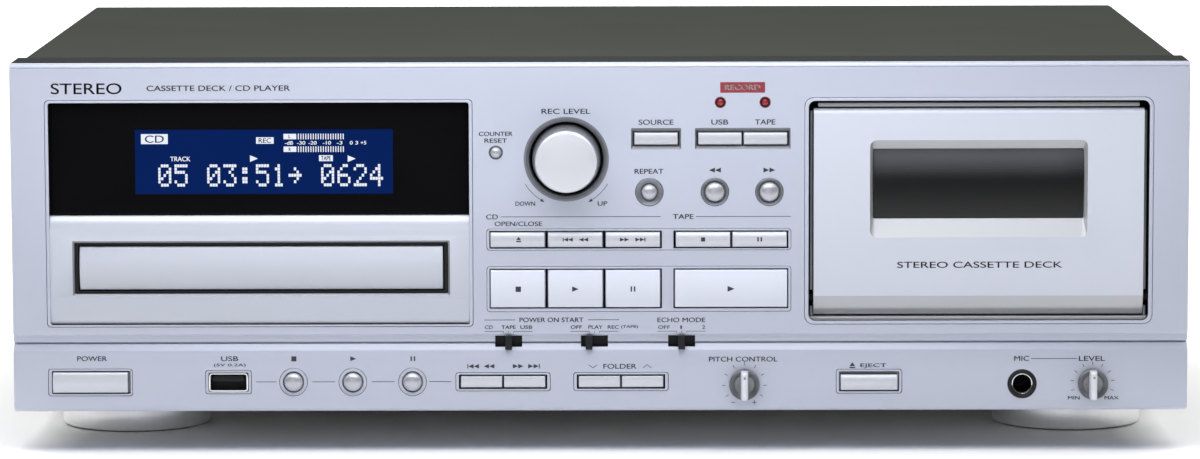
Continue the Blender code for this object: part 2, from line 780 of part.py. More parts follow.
def build_feet():
    for side, x in (("left", -FOOT_X), ("right", FOOT_X)):
        for end, behind in (("front", FOOT_FRONT_DEPTH), ("rear", FOOT_REAR_DEPTH)):
            profile = [
                (0, FOOT_HEIGHT - GAP),
                (FOOT_RADIUS - 1.0, FOOT_HEIGHT - GAP),
                (FOOT_RADIUS, FOOT_HEIGHT - GAP - 1.0),
                (FOOT_RADIUS, FOOT_PAD_HEIGHT + 1.2),
                (FOOT_RADIUS - 1.2, FOOT_PAD_HEIGHT),
                (FOOT_PAD_RADIUS, FOOT_PAD_HEIGHT),
                (FOOT_PAD_RADIUS, 0),
                (0, 0),
            ]
            foot = turned(f"foot_{end}_{side}", profile, (x, depth(behind), 0), "up", 32)
            finish_node(foot, BRIGHT)


# Display and disc drawer


def build_display():
    inset = GAP + 0.1
    window = block(
        "display_window",
        (MODULE_X[0] + inset, MODULE_X[1] - inset),
        (depth(WINDOW_FRONT), depth(WINDOW_BACK)),
        (WINDOW_LOW, MODULE_Z[1] - inset),
    )
    finish_node(window, SMOKED)
    half_width, half_height = (LCD_X[1] - LCD_X[0]) / 2, (LCD_Z[1] - LCD_Z[0]) / 2
    front, step, back = (depth(behind) for behind in SCREEN_DEPTHS)
    module = stepped(
        "display_module",
        (sum(LCD_X) / 2, sum(LCD_Z) / 2),
        [
            (back, half_width + SCREEN_MARGIN, half_height + SCREEN_MARGIN),
            (step, half_width + SCREEN_MARGIN, half_height + SCREEN_MARGIN),
            (step, half_width, half_height),
            (front, half_width, half_height),
        ],
    )
    finish_node(module, SCREEN)


def build_drawer_bezel():
    low = MODULE_Z[0] + GAP
    high = WINDOW_LOW - GAP
    profile = [
        (depth(BEZEL_BACK), low),
        (depth(2.8), low),
        (depth(1.4), low + 3.5),
        (depth(0.8), low + 9.0),
        (depth(0.6), high - 7.0),
        (depth(1.1), high - 3.0),
        (depth(2.4), high),
        (depth(BEZEL_BACK), high),
    ]
    inset = GAP + 0.1
    bezel = extruded("drawer_bezel", [profile], "X", MODULE_X[0] + inset, MODULE_X[1] - inset)
    slot_x, slot_z = around(
        (DRAWER_X, DRAWER_Z), DRAWER_WIDTH + 2 * SLOT_MARGIN, DRAWER_HEIGHT + 2 * SLOT_MARGIN
    )
    cut(bezel, block("drawer_slot", slot_x, (depth(-REACH), depth(BEZEL_BACK + REACH)), slot_z))
    finish_node(bezel, SILVER)


def build_drawer():
    front = stepped(
        "drawer_front",
        (DRAWER_X, DRAWER_Z),
        [
            (depth(DRAWER_BACK), DRAWER_WIDTH / 2, DRAWER_HEIGHT / 2),
            (depth(DRAWER_FRONT + 0.5), DRAWER_WIDTH / 2, DRAWER_HEIGHT / 2),
            (depth(DRAWER_FRONT), DRAWER_WIDTH / 2 - 0.5, DRAWER_HEIGHT / 2 - 0.6),
        ],
    )
    finish_node(front, BRIGHT, (DRAWER_X, depth(0), DRAWER_Z))
    disc_y = depth(DISC_DEPTH)
    half = TRAY_WIDTH / 2
    tray = block(
        "disc_tray",
        (DRAWER_X - half, DRAWER_X + half),
        (depth(DRAWER_BACK + GAP), depth(TRAY_LENGTH)),
        TRAY_Z,
    )
    recess = rod(
        "disc_recess",
        "Z",
        (DRAWER_X, disc_y),
        DISC_RECESS_RADIUS,
        DISC_RECESS_FLOOR,
        TRAY_Z[1] + REACH,
        56,
    )
    slot_x = (DRAWER_X - PICKUP_HALF_WIDTH, DRAWER_X + PICKUP_HALF_WIDTH)
    slot_y = (disc_y - PICKUP_HALF_WIDTH, disc_y + PICKUP_REACH)
    pickup_slot = extruded(
        "pickup_slot",
        [rectangle(slot_x, slot_y, PICKUP_CORNER, 4)],
        "Z",
        TRAY_Z[0] - REACH,
        TRAY_Z[1] + REACH,
    )
    cut(tray, recess, pickup_slot)
    finish_node(tray, BLACK, (DRAWER_X, depth(0), DRAWER_Z))


def build_disc_mechanism():
    """An open-fronted frame: floor, two side rails with ledges under the tray, and a clamp bridge."""
    inner = TRAY_WIDTH / 2 + TRAY_SIDE_GAP
    outer = inner + RAIL_WALL
    floor, bridge = FRAME_FLOOR_Z, FRAME_BRIDGE_Z
    ledge = TRAY_Z[0] - GAP
    ledge_edge = ledge - LEDGE_THICKNESS
    ledge_root = ledge - 2 * LEDGE_THICKNESS + 0.2
    reach = inner - LEDGE_REACH
    section = [
        (-outer, floor[0]),
        (outer, floor[0]),
        (outer, bridge[1]),
        (inner, bridge[1]),
        (inner, ledge),
        (reach, ledge),
        (reach, ledge_edge),
        (inner, ledge_root),
        (inner, floor[1]),
        (-inner, floor[1]),
        (-inner, ledge_root),
        (-reach, ledge_edge),
        (-reach, ledge),
        (-inner, ledge),
        (-inner, bridge[1]),
        (-outer, bridge[1]),
    ]
    section = [(DRAWER_X + u, v) for u, v in section]
    front, back = (depth(behind) for behind in FRAME_DEPTHS)
    frame = extruded("disc_mechanism_frame", [section], "Y", front, back)
    disc_y = depth(DISC_DEPTH)
    across = block(
        "clamp_bridge",
        (DRAWER_X - outer + OVERLAP, DRAWER_X + outer - OVERLAP),
        (disc_y - BRIDGE_HALF, disc_y + BRIDGE_HALF),
        bridge,
    )
    clamp_z = (bridge[0] - 1.5, bridge[1] + 2.0)
    clamp = rod("disc_clamp", "Z", (DRAWER_X, disc_y), CLAMP_RADIUS, *clamp_z)
    post_z = (PAN_FLOOR + GAP, floor[0] + OVERLAP)
    posts = [
        rod(f"post_{x}_{y}", "Z", (DRAWER_X + x, depth(y)), POST_RADIUS, *post_z, 12)
        for x in (-POST_X, POST_X)
        for y in POST_DEPTHS
    ]
    join(frame, across, clamp, *posts)
    through_floor = (floor[0] - REACH, floor[1] + REACH)
    spindle_hole = rod("spindle_hole", "Z", (DRAWER_X, disc_y), SPINDLE_HOLE, *through_floor, 16)
    lens_x = (DRAWER_X - LENS_HALF_WIDTH, DRAWER_X + LENS_HALF_WIDTH)
    lens_y = (disc_y + LENS_SLOT[0], disc_y + LENS_SLOT[1])
    lens_slot = block("lens_slot", lens_x, lens_y, through_floor)
    cut(frame, spindle_hole, lens_slot)
    finish_node(frame, BLACK)

    turntable = turned(
        "disc_turntable",
        [
            (0, 3.0),
            (3.0, 3.0),
            (7.2, 0.5),
            (7.2, 0),
            (15.0, 0),
            (15.0, -2.0),
            (2.0, -2.0),
            (2.0, -18.0),
            (0, -18.0),
        ],
        (DRAWER_X, disc_y, TURNTABLE_Z),
        "up",
        24,
    )
    finish_node(turntable, BLACK)


# Cassette compartment


def build_door():
    half = DOOR_WIDTH / 2
    profile = [
        (depth(DOOR_FRONT), DOOR_Z[1] - 0.6),
        (depth(DOOR_FRONT), DOOR_BEND),
        (depth(DOOR_FRONT + 1.4), DOOR_BEND - 4.6),
        (depth(DOOR_FRONT + 3.4), DOOR_Z[0]),
        (depth(DOOR_ROOT), DOOR_Z[0] + 1.4),
        (depth(DOOR_ROOT), HOLDER_Z[0] - 0.6),
        (depth(DOOR_BACK), HOLDER_Z[0] - 0.6),
        (depth(DOOR_BACK), DOOR_Z[1]),
        (depth(DOOR_FRONT + 0.6), DOOR_Z[1]),
    ]
    door = extruded("cassette_door", [profile], "X", BAY_CENTRE - half, BAY_CENTRE + half)
    pin_reach = (BAY_X[1] - BAY_X[0]) / 2 + PIN_REACH
    pins = rod(
        "hinge_pins",
        "X",
        (depth(HINGE_DEPTH), HINGE_Z),
        HINGE_PIN_RADIUS,
        BAY_CENTRE - pin_reach,
        BAY_CENTRE + pin_reach,
        16,
    )
    join(door, pins)
    trough_half = GLASS_WIDTH / 2 + TROUGH_SIDE
    trough_back = depth(DOOR_FRONT + TROUGH_DEPTH)
    trough = extruded(
        "window_trough",
        [
            [
                (depth(-REACH), TROUGH_Z[0]),
                (depth(DOOR_FRONT), TROUGH_Z[0]),
                (trough_back, GLASS_Z[0]),
                (trough_back, GLASS_Z[1]),
                (depth(DOOR_FRONT), TROUGH_Z[1]),
                (depth(-REACH), TROUGH_Z[1]),
            ]
        ],
        "X",
        BAY_CENTRE - trough_half,
        BAY_CENTRE + trough_half,
    )
    glass_hole = block(
        "glass_hole",
        (BAY_CENTRE - GLASS_WIDTH / 2, BAY_CENTRE + GLASS_WIDTH / 2),
        (depth(-REACH), depth(DOOR_BACK + REACH)),
        GLASS_Z,
    )
    cut(door, trough, glass_hole)
    hinge = (BAY_CENTRE, depth(HINGE_DEPTH), HINGE_Z)
    finish_node(door, SILVER, hinge)
    window = block(
        "door_window",
        (BAY_CENTRE - GLASS_WIDTH / 2 + GAP, BAY_CENTRE + GLASS_WIDTH / 2 - GAP),
        (depth(DOOR_FRONT + TROUGH_DEPTH + 0.1), depth(DOOR_BACK + 0.4)),
        (GLASS_Z[0] + GAP, GLASS_Z[1] - GAP),
    )
    finish_node(window, SMOKED, hinge)
    return hinge


def build_cassette_holder(hinge):
    """A front plate with a window, two side walls with rear lips, and a shelf at each lower corner."""
    inner = CASSETTE_WIDTH / 2 + 1.0
    outer = inner + HOLDER_WALL
    low, high = HOLDER_Z
    view_x = (BAY_CENTRE - GLASS_WIDTH / 2 + 1.25, BAY_CENTRE + GLASS_WIDTH / 2 - 1.25)
    front = [
        rectangle((BAY_CENTRE - outer, BAY_CENTRE + outer), (low, high)),
        rectangle(view_x, (GLASS_Z[0] + 1.0, GLASS_Z[1] - 1.0)),
    ]
    holder = extruded("cassette_holder", front, "Y", depth(HOLDER_FRONT), depth(HOLDER_FRONT + 1.2))
    shelf_top = CASSETTE_BOTTOM - GAP
    sides = []
    for side in (-1, 1):
        channel = [
            (side * outer, low),
            (side * outer, high),
            (side * inner, high),
            (side * inner, shelf_top),
            (side * (inner - HOLDER_SHELF), shelf_top),
            (side * (inner - HOLDER_SHELF), low),
        ]
        channel = [(BAY_CENTRE + u, v) for u, v in channel]
        wall_y = (depth(HOLDER_FRONT + 0.6), depth(HOLDER_BACK))
        sides.append(extruded(f"holder_side_{side}", [channel], "Y", *wall_y))
        lip_x = sorted((BAY_CENTRE + side * (outer - OVERLAP), BAY_CENTRE + side * (inner - HOLDER_LIP)))
        lip_y = (depth(HOLDER_BACK - 1.0), depth(HOLDER_BACK + 0.2))
        sides.append(block(f"holder_lip_{side}", lip_x, lip_y, (low + OVERLAP, high - 12)))
    join(holder, *sides)
    finish_node(holder, STEEL, hinge)


def build_cassette_well():
    margin = 0.2
    inner_x = (BAY_X[0] - margin, BAY_X[1] + margin)
    inner_z = (BAY_Z[0] - margin, BAY_Z[1] + margin)
    outer_x = (inner_x[0] - WELL_WALL, inner_x[1] + WELL_WALL)
    outer_z = (inner_z[0] - WELL_WALL, inner_z[1] + WELL_WALL)
    well = extruded(
        "cassette_well",
        [rectangle(outer_x, outer_z), rectangle(inner_x, inner_z)],
        "Y",
        depth(PANEL_THICKNESS + GAP),
        depth(WELL_BACK - OVERLAP),
    )
    holes = [circle((BAY_CENTRE + side * REEL_PITCH / 2, REEL_Z), REEL_HOLE, 16) for side in (-1, 1)]
    holes.append(circle((CAPSTAN_X, CAPSTAN_Z), CAPSTAN_HOLE, 12))
    plate_outline = rectangle(
        (outer_x[0] + OVERLAP, outer_x[1] - OVERLAP), (outer_z[0] + OVERLAP, outer_z[1] - OVERLAP)
    )
    plate_y = (depth(WELL_PLATE_FRONT), depth(WELL_BACK))
    plate = extruded("well_plate", [plate_outline, *holes], "Y", *plate_y)
    join(well, plate)
    pin_holes = rod(
        "pin_holes",
        "X",
        (depth(HINGE_DEPTH), HINGE_Z),
        HINGE_PIN_RADIUS + GAP,
        outer_x[0] - REACH,
        outer_x[1] + REACH,
        16,
    )
    cut(well, pin_holes)
    finish_node(well, BLACK)


def build_tape_mechanism():
    plate_front = WELL_PLATE_FRONT
    for name, side in (("supply_spindle", -1), ("takeup_spindle", 1)):
        x = BAY_CENTRE + side * REEL_PITCH / 2
        spindle = turned(
            name,
            [
                (0, 10.0),
                (1.6, 10.0),
                (3.6, 7.5),
                (3.6, 2.0),
                (10.0, 2.0),
                (10.0, 0.4),
                (2.0, 0.4),
                (2.0, -3.0),
                (9.0, -3.0),
                (9.0, -5.5),
                (0, -5.5),
            ],
            (x, depth(plate_front), REEL_Z),
            steps=24,
        )
        fins = []
        for turn in range(3):
            fin = block(f"{name}_fin_{turn}", (-4.9, 4.9), (-0.6, 0.6), (1.5, 7.0))
            fin.matrix_world = (
                Matrix.Translation(Vector((x, depth(plate_front), REEL_Z)) * MM)
                @ Matrix.Rotation(math.pi / 2, 4, "X")
                @ Matrix.Rotation(turn * math.pi / 3, 4, "Z")
            )
            fins.append(fin)
        join(spindle, *fins)
        finish_node(spindle, BLACK)
    flywheel = turned(
        "capstan_flywheel",
        [
            (0, 12.0),
            (1.2, 12.0),
            (1.2, -9.0),
            (25.0, -9.0),
            (25.0, -16.0),
            (0, -16.0),
        ],
        (CAPSTAN_X, depth(plate_front), CAPSTAN_Z),
        steps=40,
    )
    finish_node(flywheel, CHROME)
    plate_x = (BAY_CENTRE - 28, BAY_CENTRE + 30)
    plate_front, head_front, head_back, arm_back, plate_back = (depth(y) for y in HEAD_DEPTHS)
    carriage = block("head_carriage", plate_x, (plate_front, plate_back), HEAD_PLATE_Z)
    joined = HEAD_PLATE_Z[1] - OVERLAP
    head_x = (BAY_CENTRE - HEAD_HALF_WIDTH, BAY_CENTRE + HEAD_HALF_WIDTH)
    head = block("tape_head", head_x, (head_front, head_back), (joined, HEAD_TOP))
    arm_x = (CAPSTAN_X - 2, CAPSTAN_X + 2)
    arm = block("roller_arm", arm_x, (depth(ROLLER_BACK), arm_back), (joined, ROLLER_ARM_TOP))
    roller_y = (head_front, depth(ROLLER_BACK + OVERLAP))
    roller = rod("pinch_roller", "Y", (CAPSTAN_X, PINCH_ROLLER_Z), ROLLER_RADIUS, *roller_y, 20)
    join(carriage, head, arm, roller)
    finish_node(carriage, STEEL)


# Sockets, lamps and electronics


def build_sockets():
    port_x, port_z = around((USB_X, LOWER_ROW_Z), *USB_SHELL)
    port = block("usb_port", port_x, (depth(-0.3), depth(USB_LENGTH)), port_z)
    cavity_x, cavity_z = around((USB_X, LOWER_ROW_Z), *USB_MOUTH)
    cut(port, block("usb_cavity", cavity_x, (depth(-REACH), depth(USB_LENGTH - 1.5)), cavity_z))
    finish_node(port, CHROME)
    jack = turned(
        "mic_jack",
        [
            (0, 0.6),
            (4.6, 0.6),
            (5.1, 0.1),
            (5.1, -PANEL_THICKNESS - GAP),
            (JACK_RADIUS, -PANEL_THICKNESS - GAP),
            (JACK_RADIUS, -JACK_LENGTH),
            (0, -JACK_LENGTH),
        ],
        (MIC_X, depth(0), SMALL_KNOB_Z),
    )
    bore_y = (depth(-REACH), depth(JACK_LENGTH - 2.0))
    cut(jack, rod("mic_bore", "Y", (MIC_X, SMALL_KNOB_Z), JACK_BORE, *bore_y))
    finish_node(jack, BLACK)
    inlet_x, inlet_z = around(INLET, *INLET_BODY)
    inlet = block("mains_inlet", inlet_x, (REAR_Y - 22.0, REAR_Y + 1.2), inlet_z)
    flange_x, flange_z = around(INLET, *INLET_FLANGE)
    join(inlet, block("inlet_flange", flange_x, (REAR_Y + GAP, REAR_Y + 1.6), flange_z))
    mouth_outline = rectangle(*around(INLET, *INLET_MOUTH), INLET_MOUTH[1] / 2 - 0.4)
    mouth_floor = REAR_Y - 14.0
    cut(inlet, extruded("inlet_mouth", [mouth_outline], "Y", mouth_floor, REAR_Y + REACH))
    pin_y = (mouth_floor - 1.0, REAR_Y - 3.0)
    pins = [
        rod(f"inlet_pin_{i}", "Y", (INLET[0] + x, INLET[1]), INLET_PIN_RADIUS, *pin_y, 12)
        for i, x in enumerate((-INLET_PIN_X, INLET_PIN_X))
    ]
    join(inlet, *pins)
    finish_node(inlet, BLACK)


def build_lamps():
    bar = block(
        "record_lamps",
        (RECORD_X[0] - LAMP_BAR, RECORD_X[1] + LAMP_BAR),
        (depth(FLANGE_DEPTH), depth(FLANGE_DEPTH + 2.0)),
        (LAMP_Z - LAMP_BAR, LAMP_Z + LAMP_BAR),
    )
    lenses = [
        rod(f"lens_{i}", "Y", (x, LAMP_Z), LAMP_RADIUS, depth(-0.3), depth(FLANGE_DEPTH + OVERLAP), 16)
        for i, x in enumerate(RECORD_X)
    ]
    join(bar, *lenses)
    finish_node(bar, RED)


def build_electronics():
    board_top = BOARD_Z + BOARD_THICKNESS
    on_board = board_top - OVERLAP
    board = block("main_board", BOARD_X, (BOARD_FRONT, REAR_Y - 8.0), (BOARD_Z, board_top))
    jack_x = (JACK_X[0] - 8.0, JACK_X[1] + 8.0)
    jack_y = (REAR_Y - 14.0, REAR_Y - 2.5)
    body = block("jack_block", jack_x, jack_y, (on_board, JACK_Z[1] + 8.0))
    barrel_y = (REAR_Y - 3.0, DEPTH / 2)
    socket_y = (REAR_Y - 2.0, DEPTH / 2 + REACH)
    places = [(x, z) for x in JACK_X for z in JACK_Z]
    barrels = [
        rod(f"barrel_{i}", "Y", place, BARREL_RADIUS, *barrel_y, 16) for i, place in enumerate(places)
    ]
    sockets = [
        rod(f"socket_{i}", "Y", place, BARREL_BORE, *socket_y, 12) for i, place in enumerate(places)
    ]
    heat_sink = block("heat_sink", *HEAT_SINK, (on_board, BOARD_Z + 30.0))
    capacitors = [
        rod(f"capacitor_{i}", "Z", place, CAPACITOR_RADIUS, on_board, BOARD_Z + 27.0, 16)
        for i, place in enumerate(CAPACITORS)
    ]
    join(board, body, *barrels, heat_sink, *capacitors)
    cut(board, *sockets)
    finish_node(board, GREEN)

    base = PAN_FLOOR + GAP
    core = around(TRANSFORMER, *CORE_SIZE)
    transformer = block("power_transformer", *core, (base, base + CORE_HEIGHT))
    coil_z = (base + COIL_MARGIN, base + CORE_HEIGHT - COIL_MARGIN)
    coil = block("transformer_coil", *around(TRANSFORMER, *COIL_SIZE), coil_z)
    bracket_z = (base, base + BRACKET_THICKNESS)
    bracket = block("transformer_bracket", *around(TRANSFORMER, *BRACKET_SIZE), bracket_z)
    join(transformer, coil, bracket)
    finish_node(transformer, COPPER)


def gather():
    """Parents every node to one empty that stands at the origin."""
    base = bpy.data.objects.new("cassette_deck_origin", None)
    DECK.objects.link(base)
    for obj in DECK.objects:
        if obj is not base:
            obj.parent = base


def build():
    build_front_panel()
    build_case()
    build_feet()
    build_display()
    build_drawer_bezel()
    build_drawer()
    build_disc_mechanism()
    build_cassette_holder(build_door())
    build_cassette_well()
    build_tape_mechanism()
    build_push_keys()
    build_round_keys()
    build_knobs()
    build_slide_switches()
    build_sockets()
    build_lamps()
    build_electronics()
    gather()


build()
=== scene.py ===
"""The looks of the cassette deck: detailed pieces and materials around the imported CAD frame.

Sizes are in millimetres and become metres where a mesh is made. +Z is up and the front faces -Y.
A depth is measured behind the front panel's face, so it is negative in front.
"""

import math

import bmesh
import bpy
from mathutils import Matrix, Vector


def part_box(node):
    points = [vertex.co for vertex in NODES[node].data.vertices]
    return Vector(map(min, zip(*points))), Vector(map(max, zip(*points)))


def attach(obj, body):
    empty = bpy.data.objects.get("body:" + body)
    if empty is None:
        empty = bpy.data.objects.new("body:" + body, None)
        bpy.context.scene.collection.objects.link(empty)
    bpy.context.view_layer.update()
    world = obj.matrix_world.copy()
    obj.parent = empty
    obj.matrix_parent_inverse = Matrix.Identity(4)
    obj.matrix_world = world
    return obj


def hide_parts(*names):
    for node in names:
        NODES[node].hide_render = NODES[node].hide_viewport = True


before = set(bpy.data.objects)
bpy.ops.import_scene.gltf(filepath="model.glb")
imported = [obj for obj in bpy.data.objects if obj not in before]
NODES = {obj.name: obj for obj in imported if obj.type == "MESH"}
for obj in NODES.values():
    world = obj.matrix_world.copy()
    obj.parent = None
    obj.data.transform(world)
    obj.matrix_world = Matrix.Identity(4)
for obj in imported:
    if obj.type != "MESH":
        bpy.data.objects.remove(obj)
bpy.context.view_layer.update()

MM = 0.001
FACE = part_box("front_panel")[0].y / MM
PRINT_LIFT = 0.03  # how far ink stands in front of what it is printed on


def limits(node):
    """A CAD node's limits in millimetres, as pairs for X, Y and Z."""
    low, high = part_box(node)
    return [(low[i] / MM, high[i] / MM) for i in range(3)]


def middle(node):
    return [sum(pair) / 2 for pair in limits(node)]


def depth(behind_face):
    return FACE + behind_face


def grown(pair, amount):
    """A pair of limits, moved apart by an amount at each end."""
    return (pair[0] - amount, pair[1] + amount)


def about(centre, width):
    return (centre - width / 2, centre + width / 2)


# Materials. Each one is built from noise, so that no surface is a flat colour.

RELIEF = 0.05 * MM  # how high a material's grain stands
FINE_SCALE, BROAD_SCALE = 8.0, 14.0
FINE_SHARE = 0.7  # the fine grain's weight, against the broad unevenness


def add_node(tree, kind, inputs=(), **settings):
    """A new shader node, with its settings and then the values of some inputs."""
    node = tree.nodes.new("ShaderNode" + kind)
    for name, value in settings.items():
        setattr(node, name, value)
    for socket, value in dict(inputs).items():
        node.inputs[socket].default_value = value
    return node


def wire(tree, *routes):
    """Links sockets. A route is a node, its output, a node and its input."""
    for source, output, target, socket in routes:
        tree.links.new(source.outputs[output], target.inputs[socket])


def shaded(colour, factor):
    return (*[min(1, channel * factor) for channel in colour], 1)


def surface(
    name,
    colour,
    metallic=0.0,
    roughness=0.4,
    grain=300,
    variation=0.05,
    bump=0.0,
    uneven=0.06,
    tone=None,
    **sockets,
):
    """A Principled material with grain: colour, roughness and height follow a stretched noise.

    variation and uneven say how much of the colour and the roughness the noise takes or adds.
    The last argument, (low, high, share), is painted shade by height: below the height low, the colour is
    only that share of itself.
    """
    grain = grain if isinstance(grain, tuple) else (grain,) * 3
    made = bpy.data.materials.new(name)
    made.use_nodes = True
    tree = made.node_tree
    shader = tree.nodes["Principled BSDF"]
    place = add_node(tree, "TexCoord")
    stretch = add_node(tree, "Mapping", {"Scale": grain})
    fine = add_node(tree, "TexNoise", {"Scale": FINE_SCALE, "Detail": 3.0})
    broad = add_node(tree, "TexNoise", {"Scale": BROAD_SCALE})
    mixed = add_node(tree, "Math", {1: FINE_SHARE}, operation="MULTIPLY_ADD")
    halved = add_node(tree, "Math", {1: 1 / (1 + FINE_SHARE)}, operation="MULTIPLY")
    ends = {"A": shaded(colour, 1 - variation), "B": shaded(colour, 1 + variation)}
    tint = add_node(tree, "Mix", ends, data_type="RGBA")
    ends = {"To Min": roughness * (1 - uneven), "To Max": roughness * (1 + uneven)}
    rough = add_node(tree, "MapRange", ends)
    wire(
        tree,
        (place, "Object", stretch, "Vector"),
        (place, "Object", broad, "Vector"),
        (stretch, "Vector", fine, "Vector"),
        (fine, "Fac", mixed, 0),
        (broad, "Fac", mixed, 2),
        (mixed, "Value", halved, 0),
        (halved, "Value", tint, "Factor"),
        (halved, "Value", rough, "Value"),
        (tint, "Result", shader, "Base Color"),
        (rough, "Result", shader, "Roughness"),
    )
    # Painted shade: the colour is darkened towards the bottom by the object's height, as light from above
    # would fall.
    if tone:
        low, high, share = tone
        ends = {"From Min": low * MM, "From Max": high * MM, "To Min": share, "To Max": 1.0}
        shade_by_height = add_node(tree, "MapRange", ends, interpolation_type="SMOOTHSTEP")
        parts = add_node(tree, "SeparateXYZ")
        painted_shade_mix = add_node(tree, "Mix", {"Factor": 1.0}, data_type="RGBA", blend_type="MULTIPLY")
        wire(
            tree,
            (place, "Object", parts, "Vector"),
            (parts, "Z", shade_by_height, "Value"),
            (tint, "Result", painted_shade_mix, "A"),
            (shade_by_height, "Result", painted_shade_mix, "B"),
            (painted_shade_mix, "Result", shader, "Base Color"),
        )
    if bump:
        relief = add_node(tree, "Bump", {"Strength": bump, "Distance": RELIEF})
        wire(tree, (fine, "Fac", relief, "Height"), (relief, "Normal", shader, "Normal"))
    shader.inputs["Metallic"].default_value = metallic
    for socket, value in sockets.items():
        shader.inputs[socket.replace("_", " ")].default_value = value
    return made


DIM = 0.1  # how pale a lit surface is by itself, against its light


def glowing(name, colour, strength, roughness=0.2):
    """A lit surface, with a faint unevenness in its light."""
    made = surface(name, [c * DIM for c in colour], roughness=roughness, variation=0.1, IOR=1.1)
    shader = made.node_tree.nodes["Principled BSDF"]
    tint = shader.inputs["Base Color"].links[0].from_node
    wire(made.node_tree, (tint, "Result", shader, "Emission Color"))
    shader.inputs["Emission Strength"].default_value = strength / DIM
    return made


BRUSHED = (6, 200, 900)  # long across the front, fine up and down
TURNED = (900, 60, 900)  # fine about a knob, long along it
MATT = {"Specular_IOR_Level": 0.0}
DULL = {"Specular_IOR_Level": 0.25}
# The pane's colour falls to a share of 0.07 below 100 mm: painted shade that leaves a paler band along its
# top.
WINDOW_GLASS = {"tone": (100, 113, 0.07), "IOR": 1.4, "Alpha": 0.9}
# Painted shade by height, as (low, high, share): each silver front part darkens towards its bottom, as if lit
# from above.
FACE_PAINTED_SHADE, DOOR_PAINTED_SHADE = (40, 125, 0.84), (40, 125, 0.82)
BEZEL_PAINTED_SHADE, DRAWER_PAINTED_SHADE, KEY_PAINTED_SHADE = (46, 92, 0.78), (60, 76, 0.72), (52, 68, 0.78)

# A finish's colour, metallic, roughness, grain, colour variation, relief and unevenness.
SILVER = surface("silver_face", (0.595, 0.63, 0.745), 0.12, 0.38, BRUSHED, 0.02, 0.08, tone=FACE_PAINTED_SHADE)
DOOR_SILVER = surface("silver_door", (0.72, 0.75, 0.85), 0.12, 0.38, 700, 0.025, 0.12, tone=DOOR_PAINTED_SHADE)
BEZEL_SILVER = surface("silver_bezel", (0.66, 0.69, 0.78), 0.25, 0.36, BRUSHED, 0.02, 0.08, tone=BEZEL_PAINTED_SHADE)
DRAWER_SILVER = surface("silver_drawer", (0.65, 0.68, 0.76), 0.15, 0.36, 500, 0.02, 0.05, tone=DRAWER_PAINTED_SHADE)
LOWER_KEY = surface("silver_lower_keys", (0.80, 0.83, 0.93), 0.12, 0.34, 500, 0.02, 0.05, tone=KEY_PAINTED_SHADE)
KEY_SILVER = surface("silver_keys", (0.60, 0.62, 0.67), 0.2, 0.34, 500, 0.02, 0.05)
KNOB_SILVER = surface("silver_knob", (0.70, 0.715, 0.76), 0.2, 0.34, TURNED, 0.03, 0.1)
# Painted reflection: a darker copy of the knob's metal for its side, for the dark it reflects.
KNOB_SKIRT_PAINTED_REFLECTION = surface("skirt_painted_dark_reflection", (0.42, 0.425, 0.45), 0.85, 0.32, TURNED, 0.05, 0.1)
KNOB_DISC = surface("grey_knob", (0.2, 0.205, 0.215), 0.85, 0.28, TURNED, 0.05, 0.1)
DOME_SILVER = surface("silver_domes", (0.50, 0.51, 0.55), 0.5, 0.32, 500, 0.02, 0.05)
DISH_GREY = surface("grey_dish", (0.24, 0.25, 0.275), 0.5, 0.35, 500, 0.03, 0.05)
DISH_LIGHT = surface("window_bevel", (0.56, 0.57, 0.59), 0.3, 0.38, 500, 0.02, 0.05)
# Painted shade: a darker copy of the door's silver for the strip at its foot, which slopes away from the
# light.
DOOR_STRIP_PAINTED_SHADE = surface("door_strip_painted_shade", (0.46, 0.47, 0.49), 0.4, 0.34, BRUSHED, 0.02, 0.06)
# The foot's strong up-and-down colour streaks are partly turned grain and partly painted highlight bands.
FOOT_METAL = surface("foot_metal", (0.95, 0.95, 0.96), 0.7, 0.28, (90, 90, 2), 0.12, 0.08)
# Painted reflection: the panel's silver top is coloured near black, for the dark it reflects.
PAINTED_DARK_REFLECTION = surface("panel_top_painted_reflection", (0.034, 0.035, 0.035), 0.0, 0.6, BRUSHED, 0.06, 0.1, **MATT)
COVER = surface("cover_paint", (0.047, 0.049, 0.043), 0.0, 0.6, 900, 0.12, 0.35, **MATT)
REAR_PAINT = surface("rear_paint", (0.030, 0.031, 0.032), 0.0, 0.5, 700, 0.15, 0.3, **DULL)
STEEL = surface("zinc_plate", (0.55, 0.55, 0.53), 0.85, 0.38, (60, 500, 60), 0.08, 0.1, 0.2)
CHROME = surface("polished_metal", (0.75, 0.75, 0.76), 1.0, 0.14, 200, 0.02, 0.02, 0.3)
BLACK = surface("black_plastic", (0.012, 0.012, 0.014), 0.0, 0.5, 600, 0.2, 0.25, **DULL)
GLOSS_BLACK = surface("gloss_black", (0.004, 0.004, 0.005), 0.0, 0.12, 100, 0.1, 0.0, IOR=1.12)
RED_PLASTIC = surface("red_plastic", (0.45, 0.02, 0.02), 0.0, 0.35, 300, 0.08, 0.1)
RUBBER = surface("rubber", (0.02, 0.02, 0.02), 0.0, 0.7, 500, 0.2, 0.3)
FELT = surface("felt_pad", (0.05, 0.05, 0.052), 0.0, 0.9, 900, 0.6, 0.6)
INK = surface("grey_ink", (0.028, 0.03, 0.037), 0.0, 0.6, 800, 0.1)
RED_INK = surface("red_ink", (0.30, 0.035, 0.05), 0.0, 0.5, 800, 0.06)
PALE_INK = surface("pale_ink", (0.8, 0.78, 0.78), 0.0, 0.5, 800, 0.03)
LAMP = surface("red_lens", (0.36, 0.008, 0.012), 0.0, 0.12, 200, 0.15, Coat_Weight=0.5)
